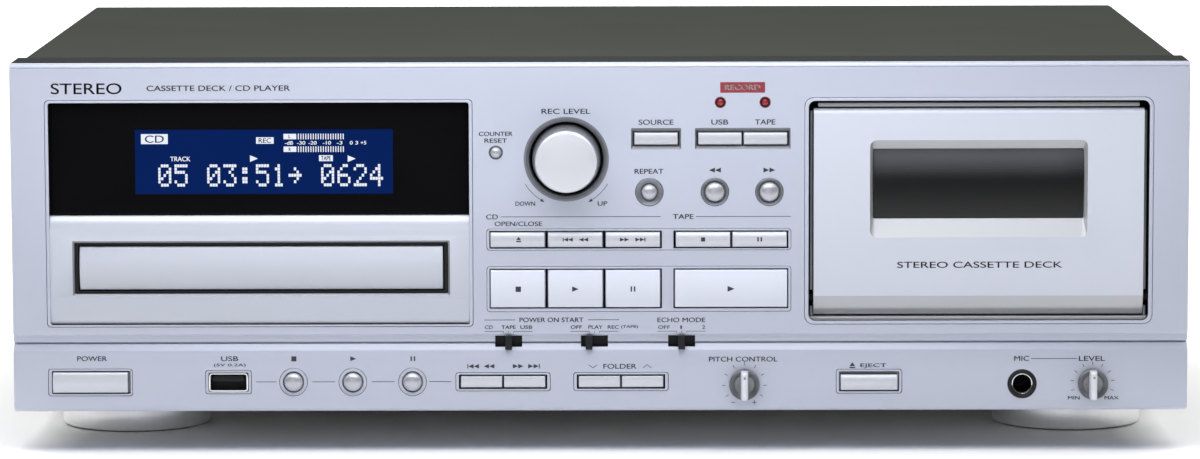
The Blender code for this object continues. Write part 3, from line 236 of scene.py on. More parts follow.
BOARD = surface("circuit_board", (0.012, 0.10, 0.045), 0.0, 0.35, 120, 0.3, 0.1)
COPPER = surface("transformer", (0.30, 0.17, 0.09), 0.5, 0.45, (30, 30, 800), 0.3, 0.3)
TINTED = surface("tinted_window", (0.11, 0.113, 0.12), 0.0, 0.2, 50, 0.1, **WINDOW_GLASS)
SCREEN = glowing("blue_screen", (0.0018, 0.0135, 0.095), 1.0)
LIT = glowing("screen_segments", (0.80, 0.84, 0.92), 0.95, 0.4)


# Shapes, drawn in millimetres

SHARP = 32  # an edge that turns by more than this is drawn sharp, in degrees
BEVEL_ANGLE, BEVEL_STEPS = 40, 2  # which edges are rounded, in degrees, and how finely
DOUBLES = 0.002  # points of a plate this close are one point
AXIS_RADIUS = 0.01  # a turned shape's radius where it meets its axis


def link_object(name, data):
    made = bpy.data.objects.new(name, data)
    bpy.context.scene.collection.objects.link(made)
    return made


def to_mesh(name, shape):
    """Turns a shape drawn in millimetres into a mesh in metres."""
    bmesh.ops.recalc_face_normals(shape, faces=shape.faces)
    bmesh.ops.scale(shape, vec=(MM, MM, MM), verts=shape.verts)
    mesh = bpy.data.meshes.new(name)
    shape.to_mesh(mesh)
    shape.free()
    return mesh


def evaluated_mesh(thing):
    return bpy.data.meshes.new_from_object(thing.evaluated_get(bpy.context.evaluated_depsgraph_get()))


def drawn_mesh(curve):
    """The mesh of a curve or text. The curve is used up."""
    drawn = link_object("drawn", curve)
    mesh = evaluated_mesh(drawn)
    bpy.data.objects.remove(drawn)
    bpy.data.curves.remove(curve)
    return mesh


def new_piece(name, shape, body, finish, slot, replaces=(), extra_finishes=()):
    """Makes a piece of a shape drawn in millimetres. It rides on a CAD body."""
    mesh = to_mesh(name, shape)
    for each in (finish, *extra_finishes):
        mesh.materials.append(each)
    mesh.shade_smooth()
    mesh.set_sharp_from_angle(angle=math.radians(SHARP))
    piece = link_object(name, mesh)
    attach(piece, body)
    if replaces:
        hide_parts(*replaces)
    return piece


def fixed(name, shape, finish, slot, *more):
    """A piece that is part of the chassis."""
    return new_piece(name, shape, "chassis", finish, slot, *more)


def loft(sections, first_cap=True, last_cap=True):
    """A skin over sections of equal length, each a ring of points."""
    shape = bmesh.new()
    rings = [[shape.verts.new(point) for point in section] for section in sections]
    count = len(rings[0])
    for one, two in zip(rings, rings[1:]):
        for i in range(count):
            after = (i + 1) % count
            shape.faces.new((one[i], one[after], two[after], two[i]))
    if first_cap:
        shape.faces.new(rings[0])
    if last_cap:
        shape.faces.new(rings[-1])
    return shape


def join(*shapes):
    """One shape of several."""
    whole = shapes[0]
    for other in shapes[1:]:
        mesh = bpy.data.meshes.new("joined")
        other.to_mesh(mesh)
        other.free()
        whole.from_mesh(mesh)
        bpy.data.meshes.remove(mesh)
    return whole


def outline(x, z, corner=0.0, steps=4):
    """A rectangle between limits, with round corners if corner is given."""
    if not corner:
        return [(x[0], z[0]), (x[1], z[0]), (x[1], z[1]), (x[0], z[1])]
    points = []
    centres = (
        (x[1] - corner, z[0] + corner, -90),
        (x[1] - corner, z[1] - corner, 0),
        (x[0] + corner, z[1] - corner, 90),
        (x[0] + corner, z[0] + corner, 180),
    )
    for cx, cz, first in centres:
        for step in range(steps + 1):
            angle = math.radians(first + 90 * step / steps)
            points.append((cx + corner * math.cos(angle), cz + corner * math.sin(angle)))
    return points


def boxed(box, margins, corner=0.0, steps=4):
    """An outline round a box (x, z), standing off it by a margin in X and one in Z."""
    return outline(grown(box[0], margins[0]), grown(box[1], margins[1]), corner, steps)


def ring(centre, radius, steps=64):
    angles = [2 * math.pi * i / steps for i in range(steps)]
    return [(centre[0] + radius * math.cos(a), centre[1] + radius * math.sin(a)) for a in angles]


def at_depth(points, behind_face):
    return [(x, depth(behind_face), z) for x, z in points]


def tube(centre, profile, steps=64):
    """Rings about a line along Y. The profile holds (radius, depth) pairs."""
    return [at_depth(ring(centre, max(radius, AXIS_RADIUS), steps), behind) for radius, behind in profile]


def turned(centre, profile, steps=64):
    """A turned shape about a line along Y. The profile holds (radius, depth) pairs."""
    return loft(tube(centre, profile, steps))


def upright(centre, profile, steps=64):
    """A turned shape about a vertical line. The profile holds (radius, height) pairs."""
    rings = [(ring(centre, max(radius, AXIS_RADIUS), steps), height) for radius, height in profile]
    return loft([[(x, y, height) for x, y in points] for points, height in rings])


def cuboid(x, y, z):
    return loft([[(px, py, pz) for px, py in outline(x, y)] for pz in z])


def bevelled(shape, amount):
    """Rounds a shape's sharp edges."""
    bmesh.ops.recalc_face_normals(shape, faces=shape.faces)
    closed = [e for e in shape.edges if len(e.link_faces) == 2]
    edges = [e for e in closed if e.calc_face_angle() > math.radians(BEVEL_ANGLE)]
    sizes = {"offset": amount, "segments": BEVEL_STEPS, "profile": 0.5}
    bmesh.ops.bevel(shape, geom=edges, affect="EDGES", clamp_overlap=True, **sizes)
    return shape


def plate(outlines, front, back, edge):
    """A flat plate facing forward, with holes and rounded edges. Depths are behind the face."""
    curve = bpy.data.curves.new("plate", "CURVE")
    curve.dimensions = "2D"
    curve.fill_mode = "BOTH"
    curve.extrude = ((back - front) / 2 - edge) * MM
    curve.bevel_depth = edge * MM
    curve.bevel_resolution = 1
    curve.offset = -edge * MM
    for points in outlines:
        spline = curve.splines.new("POLY")
        spline.points.add(len(points) - 1)
        for point, (x, z) in zip(spline.points, points):
            point.co = (x * MM, z * MM, 0, 1)
        spline.use_cyclic_u = True
    mesh = drawn_mesh(curve)
    shape = bmesh.new()
    shape.from_mesh(mesh)
    bpy.data.meshes.remove(mesh)
    bmesh.ops.remove_doubles(shape, verts=shape.verts, dist=DOUBLES * MM)
    bmesh.ops.scale(shape, vec=(1 / MM, 1 / MM, 1 / MM), verts=shape.verts)
    upright_turn = Matrix.Rotation(math.pi / 2, 4, "X")
    shape.transform(Matrix.Translation((0, depth((front + back) / 2), 0)) @ upright_turn)
    bmesh.ops.recalc_face_normals(shape, faces=shape.faces)
    return shape


def samples(pair, edge, count):
    """Places from one limit to the other: close together within the rounded edges."""
    near = [edge * (1 - math.cos(math.radians(a))) for a in (0, 22, 45, 68, 90)]
    span = pair[1] - pair[0]
    inner = [edge + (span - 2 * edge) * i / count for i in range(1, count)]
    far = [span - d for d in reversed(near)]
    return [pair[0] + d for d in near + inner + far]


def rounding(distance, edge):
    """How far a rounded edge falls back at a distance from the border."""
    if distance >= edge:
        return 0.0
    return edge - math.sqrt(max(0.0, edge * edge - (edge - distance) ** 2))


def crowned(x, z, front, back, crown, edge):
    """A block whose front bulges: crown is how far it falls back at the top and bottom."""
    xs, zs = samples(x, edge, 8), samples(z, edge, 10)
    half = (z[1] - z[0]) / 2
    shape = bmesh.new()
    grid = []
    for pz in zs:
        row = []
        v = (pz - z[0] - half) / half
        for px in xs:
            margins = (min(px - x[0], x[1] - px), min(pz - z[0], z[1] - pz))
            fall = crown * v * v + max(rounding(margin, edge) for margin in margins)
            row.append(shape.verts.new((px, depth(front + fall), pz)))
        grid.append(row)
    for low, high in zip(grid, grid[1:]):
        for i in range(len(xs) - 1):
            shape.faces.new((low[i], low[i + 1], high[i + 1], high[i]))
    right, left = [row[-1] for row in grid[1:-1]], [row[0] for row in grid[-2:0:-1]]
    border = [*grid[0], *right, *reversed(grid[-1]), *left]
    behind = [shape.verts.new((v.co.x, depth(back), v.co.z)) for v in border]
    for i in range(len(border)):
        after = (i + 1) % len(border)
        shape.faces.new((border[i], border[after], behind[after], behind[i]))
    shape.faces.new(behind)
    return shape


# Ink: flat faces just in front of a surface


def fill(ink, points):
    """Prints a filled polygon of (x, z) points."""
    ink.faces.new([ink.verts.new((x, 0, z)) for x, z in points])


def bar(ink, x, z):
    fill(ink, outline(x, z))


def stroke(ink, start, end, width=0.22):
    """A thin straight line."""
    direction = Vector((end[0] - start[0], end[1] - start[1])).normalized() * width / 2
    side = Vector((-direction.y, direction.x))
    one, two = Vector(start), Vector(end)
    fill(ink, [one - side, two - side, two + side, one + side])


HEAD_HALF_WIDTH, HEAD_LENGTH = 0.6, 1.6  # an arrow head on an arc
SIGN_HALF_HEIGHT = 0.42  # an arrow's half height, as a share of its length
BOLD = 0.045  # letters are printed twice, this far to either side, to thicken them


def words(ink, text, centre, width, height):
    """Prints words in a box of that width and height."""
    curve = bpy.data.curves.new("words", "FONT")
    curve.body = text
    mesh = drawn_mesh(curve)
    across = [v.co.x for v in mesh.vertices]
    up = [v.co.y for v in mesh.vertices]
    scale_x = width / (max(across) - min(across))
    scale_z = height / (max(up) - min(up))
    mid_x, mid_z = (max(across) + min(across)) / 2, (max(up) + min(up)) / 2
    for vertex in mesh.vertices:
        x, z = vertex.co.x - mid_x, vertex.co.y - mid_z
        vertex.co = (centre[0] - BOLD + x * scale_x, 0, centre[1] - BOLD / 2 + z * scale_z)
    ink.from_mesh(mesh)
    mesh.transform(Matrix.Translation((2 * BOLD, 0, BOLD)))
    ink.from_mesh(mesh)
    bpy.data.meshes.remove(mesh)


def arrow(ink, x, z, size=2.2, way=1):
    """A filled triangle that points along X."""
    back, tip = x - way * size / 2, x + way * size / 2
    fill(ink, [(back, z - size * SIGN_HALF_HEIGHT), (back, z + size * SIGN_HALF_HEIGHT), (tip, z)])


def wind_sign(ink, x, z, way, size=2.2):
    for shift in (-size / 2, size / 2):
        arrow(ink, x + shift, z, size, way)


def skip_sign(ink, x, z, way, size=2.2):
    """A skip sign and a wind sign side by side, as on a shared key."""
    wind_sign(ink, x - way * 3.1, z, way, size)
    wind_sign(ink, x + way * 2.6, z, way, size)
    stop = x + way * (2.6 + size + 0.15)
    bar(ink, about(stop, 0.35), about(z, size * 2 * SIGN_HALF_HEIGHT))


def pause_sign(ink, x, z, size=2.0):
    for shift in (-0.6, 0.6):
        bar(ink, about(x + shift, 0.55), about(z, size))


def stop_sign(ink, x, z, size=1.9):
    bar(ink, about(x, size), about(z, size))


def eject_sign(ink, x, z, size=2.0):
    fill(ink, [(x - size / 2, z - 0.1), (x + size / 2, z - 0.1), (x, z + size * 0.62)])
    bar(ink, about(x, size), (z - 0.85, z - 0.4))


def chevron(ink, x, z, way, size=1.6):
    for side in (-1, 1):
        stroke(ink, (x + side * size, z - way * 0.6), (x, z + way * 0.6))


def arc_arrow(ink, centre, radius, start, end):
    """An arc from one angle to another, in degrees, with an arrow head at its end."""
    steps = 10
    angles = [math.radians(start + (end - start) * i / steps) for i in range(steps + 1)]
    points = [(centre[0] + radius * math.cos(a), centre[1] + radius * math.sin(a)) for a in angles]
    for one, two in zip(points, points[1:]):
        stroke(ink, one, two, 0.2)
    way = (Vector(points[-1]) - Vector(points[-2])).normalized()
    side = Vector((-way.y, way.x))
    tip = Vector(points[-1])
    fill(ink, [tip - side * HEAD_HALF_WIDTH, tip + way * HEAD_LENGTH, tip + side * HEAD_HALF_WIDTH])


def print_on(name, ink, behind_face, body, finish, slot, lift=PRINT_LIFT):
    for vertex in ink.verts:
        vertex.co.y = depth(behind_face - lift)
    return new_piece(name, ink, body, finish, slot)


# The front panel

PANEL_X, PANEL_Y, PANEL_Z = limits("front_panel")
PANEL_THICKNESS = 3.2
GROOVE_TOP, GROOVE_SEAM, GROOVE_LOW = 44.3, 40.8, 38.0
GROOVE_DEPTH = 1.8
SLOT_HALF = 0.4  # half the height of the slot at the bottom of the groove
MODULE_OUTER = ((-204.6, -47.0), (47.1, 131.2))
MODULE_INNER = ((-203.4, -48.2), (47.8, 130.3))
BAY_OUTER = ((75.7, 204.1), (47.7, 131.7))
BAY_INNER = ((77.1, 202.7), (48.9, 130.6))
UPPER_FRAME_Z = (75.3, 83.4)
LOWER_FRAME_Z = (52.4, 69.4)
KEY_FRAME_X = (-41.9, 70.7)
DISC_KEYS_X = (-40.8, 22.9)
TAPE_KEYS_X = (27.2, 69.6)
UPPER_KEYS_Z = (76.0, 82.6)
LOWER_KEYS_Z = (53.7, 68.5)
SEAM = 0.18  # the gap left round a frame that is set into the panel
RAISED = -0.25  # the depth of the front of a raised rim
KNOB = middle("record_level_knob")[::2]
UPPER_KEYS = (
    "cd_open_close_button",
    "cd_skip_back_button",
    "cd_skip_forward_button",
    "tape_stop_button",
    "tape_pause_button",
)
LOWER_KEYS = ("cd_stop_button", "cd_play_button", "cd_pause_button", "tape_play_button")
RECORD_KEYS = ("record_usb_button", "record_tape_button")
SKIP_KEYS = ("usb_skip_back_button", "usb_skip_forward_button")
FOLDER_KEYS = ("folder_down_button", "folder_up_button")
USB_KEYS = ("usb_stop_button", "usb_play_button", "usb_pause_button")
WIND_KEYS = ("tape_rewind_button", "tape_forward_button")
SMALL_KNOBS = ("pitch_knob", "mic_level_knob")
SLIDES = ("source_slide_switch", "start_mode_slide_switch", "echo_slide_switch")
KNOB_HOLE, JACK_HOLE, RESET_HOLE, LAMP_HOLE, SHAFT_HOLE = 15.1, 5.45, 2.65, 2.05, 3.0  # radii
SLOT_SIZE = (10.0, 4.2)
SLOT_CENTRES = ((-33.9, 41.3), (-2.1, 41.3), (30.2, 41.3))
LAMP_X = (44.5, 61.0)
LAMP_Z = middle("record_lamps")[2]
# How far a long-travel key's frame reaches over its flange, left and right, and how much higher it is.
DEEP_KEYS = {"power_button": (0.75, 0.15, 0.0), "eject_button": (0.5, 0.5, 0.7)}
KEY_FLANGE = (0.3, 1.1)  # how far a key's flange stands out beside and above its cap
FLANGE_DEPTH = (3.5, 4.7)
FUNNEL_MOUTH = (1.25, 1.75)
DISH_RADIUS = 5.1
MAT_DEPTH = (6.9, 7.3)  # the black plates' front and back, clear of every key pressed in
UPPER_FACE, LOWER_FACE = -1.2, -1.1  # the depths of the two rows of keys
PAIR_FRAME = (1.85, 1.25)
USB_FRAME = (1.15, 0.75)


def cap_limits(node):
    """The limits of a key's cap in X and Z, without the flange behind the panel."""
    x, _, z = limits(node)
    return grown(x, -KEY_FLANGE[0]), grown(z, -KEY_FLANGE[1])


def pair_limits(first, second):
    (left, _), z = cap_limits(first)
    (_, right), _ = cap_limits(second)
    return (left, right), z


def deep_frame(node):
    """The outer and inner edges of the frame round a long-travel key."""
    x, _, z = limits(node)
    left, right, rise = DEEP_KEYS[node]
    outer = (grown(x, 0.5), (z[0] - 0.05, z[1] + rise + 0.05))
    return outer, ((x[0] + left, x[1] - right), (z[0] + 0.65, z[1] + rise - 0.6))


ARC_STEPS = 5


def arc(centre_y, centre_z, radius, start, end):
    """Points (y, z) along an arc in the panel's section."""
    angles = [math.radians(start + (end - start) * i / ARC_STEPS) for i in range(ARC_STEPS + 1)]
    return [(centre_y + radius * math.cos(a), centre_z + radius * math.sin(a)) for a in angles]


def panel_section():
    """The panel's outer section, from its lower back edge round the front to its upper back edge."""
    low, high = PANEL_Z
    slot = GROOVE_DEPTH + 1.3
    groove = (
        (0, GROOVE_LOW - 0.3),
        (0.15, GROOVE_LOW + 0.15),
        (GROOVE_DEPTH, GROOVE_SEAM - SLOT_HALF),
        (slot, GROOVE_SEAM - SLOT_HALF),
        (slot, GROOVE_SEAM + SLOT_HALF),
        (GROOVE_DEPTH - 0.2, GROOVE_SEAM + SLOT_HALF),
        (GROOVE_DEPTH - 0.5, GROOVE_TOP - 0.6),
    )
    crest = ((0, 2.15), (0.45, 1.85), (0.1, 1.55), (0.35, 0.75), (0.65, 0.4))
    return [
        (PANEL_Y[1], low),
        *arc(depth(1.6), low + 1.6, 1.6, 270, 180),
        *[(depth(behind), z) for behind, z in groove],
        *arc(depth(0.9), GROOVE_TOP + 0.3, 0.9, 270, 180),
        *[(depth(behind), high - down) for behind, down in crest],
        *arc(depth(1.4), high - 0.5, 0.5, 160, 90),
        (PANEL_Y[1], high),
    ]


def seamed(margins):
    return [margin + SEAM for margin in margins]


def panel_cutters():
    """Every opening through the panel, as outlines."""
    source, record = cap_limits("source_button"), pair_limits(*RECORD_KEYS)
    cuts = [
        boxed(MODULE_OUTER, (SEAM, SEAM), 1.5),
        boxed(BAY_OUTER, (SEAM, SEAM), 3.3),
        outline(KEY_FRAME_X, UPPER_FRAME_Z, 1.2),
        outline(KEY_FRAME_X, LOWER_FRAME_Z, 1.2),
        boxed(source, FUNNEL_MOUTH, 0.3),
        boxed(record, FUNNEL_MOUTH, 0.3),
        ring(KNOB, KNOB_HOLE, 96),
        ring(middle("mic_jack")[::2], JACK_HOLE),
        ring(middle("counter_reset_button")[::2], RESET_HOLE),
    ]
    cuts += [ring(middle(node)[::2], DISH_RADIUS + SEAM) for node in (*USB_KEYS, *WIND_KEYS, "repeat_button")]
    cuts += [boxed(pair_limits(*pair), seamed(PAIR_FRAME), 1.0) for pair in (SKIP_KEYS, FOLDER_KEYS)]
    cuts += [boxed(deep_frame(node)[0], (SEAM, SEAM), 1.0) for node in DEEP_KEYS]
    cuts.append(boxed(limits("usb_port")[::2], seamed(USB_FRAME), 0.8))
    cuts += [ring((x, LAMP_Z), LAMP_HOLE, 32) for x in LAMP_X]
    cuts += [ring(middle(node)[::2], SHAFT_HOLE, 32) for node in SMALL_KNOBS]
    cuts += [outline(about(x, SLOT_SIZE[0]), about(z, SLOT_SIZE[1])) for x, z in SLOT_CENTRES]
    return cuts


def cut(piece, shape, finish=BLACK):
    """Cuts a shape, drawn in millimetres, out of a piece. The cut faces get their own finish."""
    mesh = to_mesh("cutter", shape)
    mesh.materials.append(finish)
    cutter = link_object("cutter", mesh)
    modifier = piece.modifiers.new("Cut", "BOOLEAN")
    modifier.operation = "DIFFERENCE"
    modifier.solver = "EXACT"
    modifier.object = cutter
    modifier.material_mode = "TRANSFER"
    result = evaluated_mesh(piece)
    piece.modifiers.clear()
    piece.data = result
    bpy.data.objects.remove(cutter)


def soften(piece, amount):
    """A bevel on every sharp edge, with normals that keep the flat faces flat."""
    piece.data.shade_smooth()
    bevel = piece.modifiers.new("Edges", "BEVEL")
    bevel.width = amount * MM
    bevel.segments = BEVEL_STEPS
    bevel.limit_method = "ANGLE"
    bevel.angle_limit = math.radians(BEVEL_ANGLE)
    bevel.harden_normals = True
    bevel.use_clamp_overlap = True


def build_panel():
    section = panel_section()
    shape = loft([[(x, y, z) for y, z in section] for x in PANEL_X])
    bmesh.ops.recalc_face_normals(shape, faces=shape.faces)
    ends = [e for e in shape.edges if abs(e.verts[0].co.x - e.verts[1].co.x) < 0.01]
    bmesh.ops.bevel(shape, geom=ends, offset=0.7, segments=3, affect="EDGES", profile=0.5)
    # The panel's top faces get the painted dark reflection instead of silver.
    for face in shape.faces:
        if face.normal.z > 0.9 and face.calc_center_median().z > PANEL_Z[1] - 1:
            face.material_index = 1
    panel = fixed("front_panel_shell", shape, SILVER, "panel_silver", ["front_panel"], [PAINTED_DARK_REFLECTION])
    inside = [grown(PANEL_X, -2.5), (depth(PANEL_THICKNESS), PANEL_Y[1] + 5), grown(PANEL_Z, -2.5)]
    cut(panel, cuboid(*inside))
    cut(panel, join(*[loft([at_depth(points, -5), at_depth(points, 30)]) for points in panel_cutters()]))
    soften(panel, 0.18)


def rim(name, outlines):
    """A separate frame set into the panel. The walls of its holes are dark."""
    shape = plate(outlines, RAISED, PANEL_THICKNESS, 0.22)
    (left, right), (low, high) = [(min(v), max(v)) for v in zip(*outlines[0])]
    for face in shape.faces:
        x, _, z = face.calc_center_median()
        inside = left + 0.1 < x < right - 0.1 and low + 0.1 < z < high - 0.1
        if inside and abs(face.normal.y) < 0.3:
            face.material_index = 1
    fixed(name, shape, SILVER, "panel_silver", (), [BLACK])


def funnel(name, box):
    """A frame that slopes from the panel's face in to a key, with a straight throat behind it."""
    outer, inner = boxed(box, FUNNEL_MOUTH, 0.35, 2), boxed(box, (0.6, 0.6), 0.15, 2)
    rims = [at_depth(outer, 3.0), at_depth(outer, -0.03), at_depth(inner, 1.0), at_depth(inner, 3.0)]
    fixed(name, loft(rims, False, False), DISH_GREY, "panel_silver")


def dish(name, node, outer, inner, finish=DISH_GREY, fall=0.6):
    """A round funnel about a round key."""
    lip = [(outer, 3.0), (outer, 0.05), (outer - 0.2, -0.08), (outer - 0.45, 0.05)]
    rims = tube(middle(node)[::2], [*lip, (inner, fall), (inner, 3.0)])
    fixed(name, loft(rims, False, False), finish, "panel_silver")


def build_panel_frames():
    for name, frame_z, keys_z in (
        ("upper_key_frame", UPPER_FRAME_Z, UPPER_KEYS_Z),
        ("lower_key_frame", LOWER_FRAME_Z, LOWER_KEYS_Z),
    ):
        holes = [outline(keys_x, keys_z, 0.2) for keys_x in (DISC_KEYS_X, TAPE_KEYS_X)]
        rim(name, [boxed((KEY_FRAME_X, frame_z), (-0.15, -0.15), 1.2), *holes])
    rim("module_frame", [outline(*MODULE_OUTER, 1.5), outline(*MODULE_INNER, 0.9)])
    rim("bay_frame", [outline(*BAY_OUTER, 3.2), outline(*BAY_INNER, 2.4)])
    funnel("source_frame", cap_limits("source_button"))
    funnel("record_frame", pair_limits(*RECORD_KEYS))
    for node in WIND_KEYS:
        dish(f"{node}_dish", node, DISH_RADIUS, 4.0)
    dish("repeat_dish", "repeat_button", DISH_RADIUS, 3.2)
    dish("counter_reset_dish", "counter_reset_button", 2.75, 2.35)
    for node in USB_KEYS:
        dish(f"{node}_dish", node, DISH_RADIUS, 4.0, SILVER, 0.1)
    for name, pair in (("skip_frame", SKIP_KEYS), ("folder_frame", FOLDER_KEYS)):
        box = pair_limits(*pair)
        rim(name, [boxed(box, PAIR_FRAME, 1.0), boxed(box, (0.75, 0.6), 0.3)])
    for node in DEEP_KEYS:
        outer, inner = deep_frame(node)
        rim(f"{node}_frame", [outline(*outer, 1.0), outline(*inner, 0.4)])
    usb = limits("usb_port")[::2]
    rim("usb_frame", [boxed(usb, USB_FRAME, 0.8), boxed(usb, (0.15, 0.1), 0.6)])
    lip = [(15.9, 3.0), (15.9, 0.02), (15.75, 0.02), (15.6, -0.12), (14.9, -0.12)]
    rims = tube(KNOB, [*lip, (13.9, 0.7), (13.55, 2.0), (13.55, 3.2)], 96)
    fixed("record_level_collar", loft(rims, False, False), DISH_GREY, "panel_silver")


def build_backing():
    """Black plates and cups behind the openings, so that the gaps are dark."""
    cup = tube(KNOB, [(14.4, 3.25), (14.4, 9.0), (0, 9.0)], 48)
    fixed("record_level_cup", loft(cup, False), BLACK, "well_black")
    wells = [
        outline(grown(KEY_FRAME_X, 1), (LOWER_FRAME_Z[0] - 1, UPPER_FRAME_Z[1] + 1)),
        outline((-47, 71), (GROOVE_LOW - 1, GROOVE_TOP + 2)),
        outline((9, 71), (91, 124)),
        outline((-43, -33), (107, 116)),
        outline((-210, 110), (19, 34)),
    ]
    for number, points in enumerate(wells):
        mat = loft([at_depth(points, behind) for behind in MAT_DEPTH])
        fixed(f"switch_mat_{number}", mat, BLACK, "well_black")


# Keys and knobs


def flange(node):
    """The plate behind the panel that keeps a key in its opening."""
    x, _, z = limits(node)
    return cuboid(x, [depth(behind) for behind in FLANGE_DEPTH], z)


def key_piece(node, front, crown, edge, finish=KEY_SILVER):
    """A cap that stands for a key's CAD node, front first and flange behind."""
    cap = crowned(*cap_limits(node), front, 3.4, crown, edge)
    new_piece(f"{node}_cap", join(cap, bevelled(flange(node), 0.2)), node, finish, "key_silver", [node])


def deep_key(node):
    """A long-travel key, whose cap is nearly as wide as its flange."""
    cap = crowned(*[grown(pair, -1.1) for pair in limits(node)[::2]], -1.6, 3.4, 1.1, 0.4)
    new_piece(f"{node}_cap", join(cap, flange(node)), node, KEY_SILVER, "key_silver", [node])


def round_key(node):
    """A dome on a round flange."""
    x, y, _ = limits(node)
    radius = (x[1] - x[0]) / 2 - 1.2
    reach = FACE - y[0] + 0.4
    angles = (0.05, 0.3, 0.55, 0.8, 1.05, 1.3, math.pi / 2)
    dome = [(radius * math.sin(a), 0.25 - (reach + 0.25) * math.cos(a)) for a in angles]
    near, far = FLANGE_DEPTH
    profile = [*dome, (radius, near), (radius + 1.2, near), (radius + 1.2, far), (0, far)]
    cap = turned(middle(node)[::2], profile, 48)
    new_piece(f"{node}_cap", cap, node, DOME_SILVER, "key_silver", [node])


def build_keys():
    for nodes, *form in (
        (UPPER_KEYS, UPPER_FACE, 1.1, 0.3),
        (LOWER_KEYS, LOWER_FACE, 0.3, 0.3, LOWER_KEY),
        (("source_button", *RECORD_KEYS), -0.4, 0.6, 0.3),
        ((*SKIP_KEYS, *FOLDER_KEYS), -0.5, 0.5, 0.25),
    ):
        for node in nodes:
            key_piece(node, *form)
    for node in DEEP_KEYS:
        deep_key(node)
    for node in ("counter_reset_button", "repeat_button", *WIND_KEYS, *USB_KEYS):
        round_key(node)


def build_key_signs():
    """Prints each key's sign: how to draw it, how far it stands off the key's middle, and its size."""
    upper = (
        (eject_sign, 0.4, 1.8),
        (skip_sign, 0, -1, 1.7),
        (skip_sign, 0, 1, 1.7),
        (stop_sign, 0, 1.5),
        (pause_sign, 0, 1.6),
    )
    lower = ((stop_sign, 0.2, 2.0), (arrow, 0, 2.4), (pause_sign, 0, 2.0), (arrow, 0, 2.6))
    rows = ((UPPER_KEYS, upper, UPPER_FACE, 0.1), (LOWER_KEYS, lower, LOWER_FACE, -0.1))
    for nodes, signs, face, rise in rows:
        z = middle(nodes[0])[2] + rise
        for node, (draw, shift, *size) in zip(nodes, signs):
            ink = bmesh.new()
            draw(ink, middle(node)[0] + shift, z, *size)
            print_on(f"{node}_sign", ink, face, node, INK, "key_silver")


KNOB_CROWN = ((0, 0), (3, 0.05), (6, 0.25), (8.5, 0.5), (10.4, 0.85), (11, 1.1), (11.3, 1.5), (11.5, 2.4))
SKIRT_REFLECTION_FROM = 11.35  # the radius where the knob's skirt begins; the skirt's darker colour is a painted dark reflection


def build_knobs():
    x, (tip, _), _ = limits("record_level_knob")
    tip -= FACE
    radius = (x[1] - x[0]) / 2
    crown = [(out, tip + behind) for out, behind in KNOB_CROWN]
    skirt = ((radius - 0.15, -1.0), (radius, 1.0), (radius, 6.0), (2.6, 6.0), (2.6, 12.0), (0, 12.0))
    shape = turned(KNOB, [*crown, *skirt], 96)
    # The side beyond the skirt radius gets the painted dark reflection.
    for face in shape.faces:
        x, _, z = face.calc_center_median()
        if math.hypot(x - KNOB[0], z - KNOB[1]) > SKIRT_REFLECTION_FROM:
            face.material_index = 1
    names = ("record_level_knob_cap", "record_level_knob")
    new_piece(names[0], shape, names[1], KNOB_SILVER, "knob_silver", names[1:], [KNOB_SKIRT_PAINTED_REFLECTION])
    for node in SMALL_KNOBS:
        small_knob(node)


def small_knob(node):
    """A dished disc with a finger bar across it and a pointer dot."""
    centre = middle(node)[::2]
    tip = limits(node)[1][0] - FACE
    front = [(0, -1.6), (3.6, -1.9), (4.9, -3.0), (5.35, -3.2), (5.6, -2.9)]
    disc = turned(centre, [*front, (5.6, -0.4), (2.6, -0.4), (2.6, 11), (0, 11)], 64)
    new_piece(f"{node}_disc", disc, node, KNOB_DISC, "knob_silver", [node])
    grip = ((-1.0, 1.5, 5.4), (-3.0, 1.4, 5.4), (tip + 0.7, 1.15, 5.2), (tip, 0.75, 4.6))
    spot = [about(place, 0) for place in centre]
    sections = [at_depth(boxed(spot, half_size, 0.5, 3), behind) for behind, *half_size in grip]
    new_piece(f"{node}_bar", bevelled(loft(sections), 0.2), node, KNOB_SILVER, "knob_silver")
    profile = [(0, tip - 0.06), (0.45, tip - 0.05), (0.5, tip + 0.3), (0, tip + 0.3)]
    dot = turned((centre[0], centre[1] + 3.2), profile, 16)
    new_piece(f"{node}_dot", dot, node, DISH_GREY, "knob_silver")


def build_slides():
    for node in SLIDES:
        x, _, z = limits(node)
        centre = sum(x) / 2
        grip = crowned(about(centre, 2.5), about(41.0, 5.2), -1.5, -0.1, 0.1, 0.3)
        neck = cuboid(about(centre, 2.2), (depth(-0.2), depth(3.6)), about(z[0] / 2 + z[1] / 2, 3.4))
        lever = join(grip, neck, flange(node))
        new_piece(f"{node}_lever", lever, node, BLACK, "switch_black", [node])


# Display, drawer and door


GLASS_DEPTH = 2.2  # how far the display's pane lies behind the panel's face
SCREEN_DEPTH = GLASS_DEPTH + 0.08


def build_display():
    x, _, z = limits("display_window")
    module_x, _, module_z = limits("display_module")
    screen_x, screen_z = grown(module_x, -5.0), grown(module_z, -5.0)
    outlines = [boxed((x, z), (0.2, -0.1), 0.5), outline(screen_x, screen_z)]
    mask = plate(outlines, GLASS_DEPTH, 3.8, 0.25)
    fixed("display_mask", mask, GLOSS_BLACK, "display_window", ["display_window"])
    glass = cuboid(screen_x, (depth(SCREEN_DEPTH), depth(3.6)), screen_z)
    fixed("display_glass", glass, SCREEN, "display_screen", ["display_module"])
    module = cuboid(module_x, (depth(4.0), depth(12.0)), module_z)
    fixed("display_housing", bevelled(module, 0.6), BLACK, "display_screen")
    draw_screen(screen_x[0], screen_z[0])


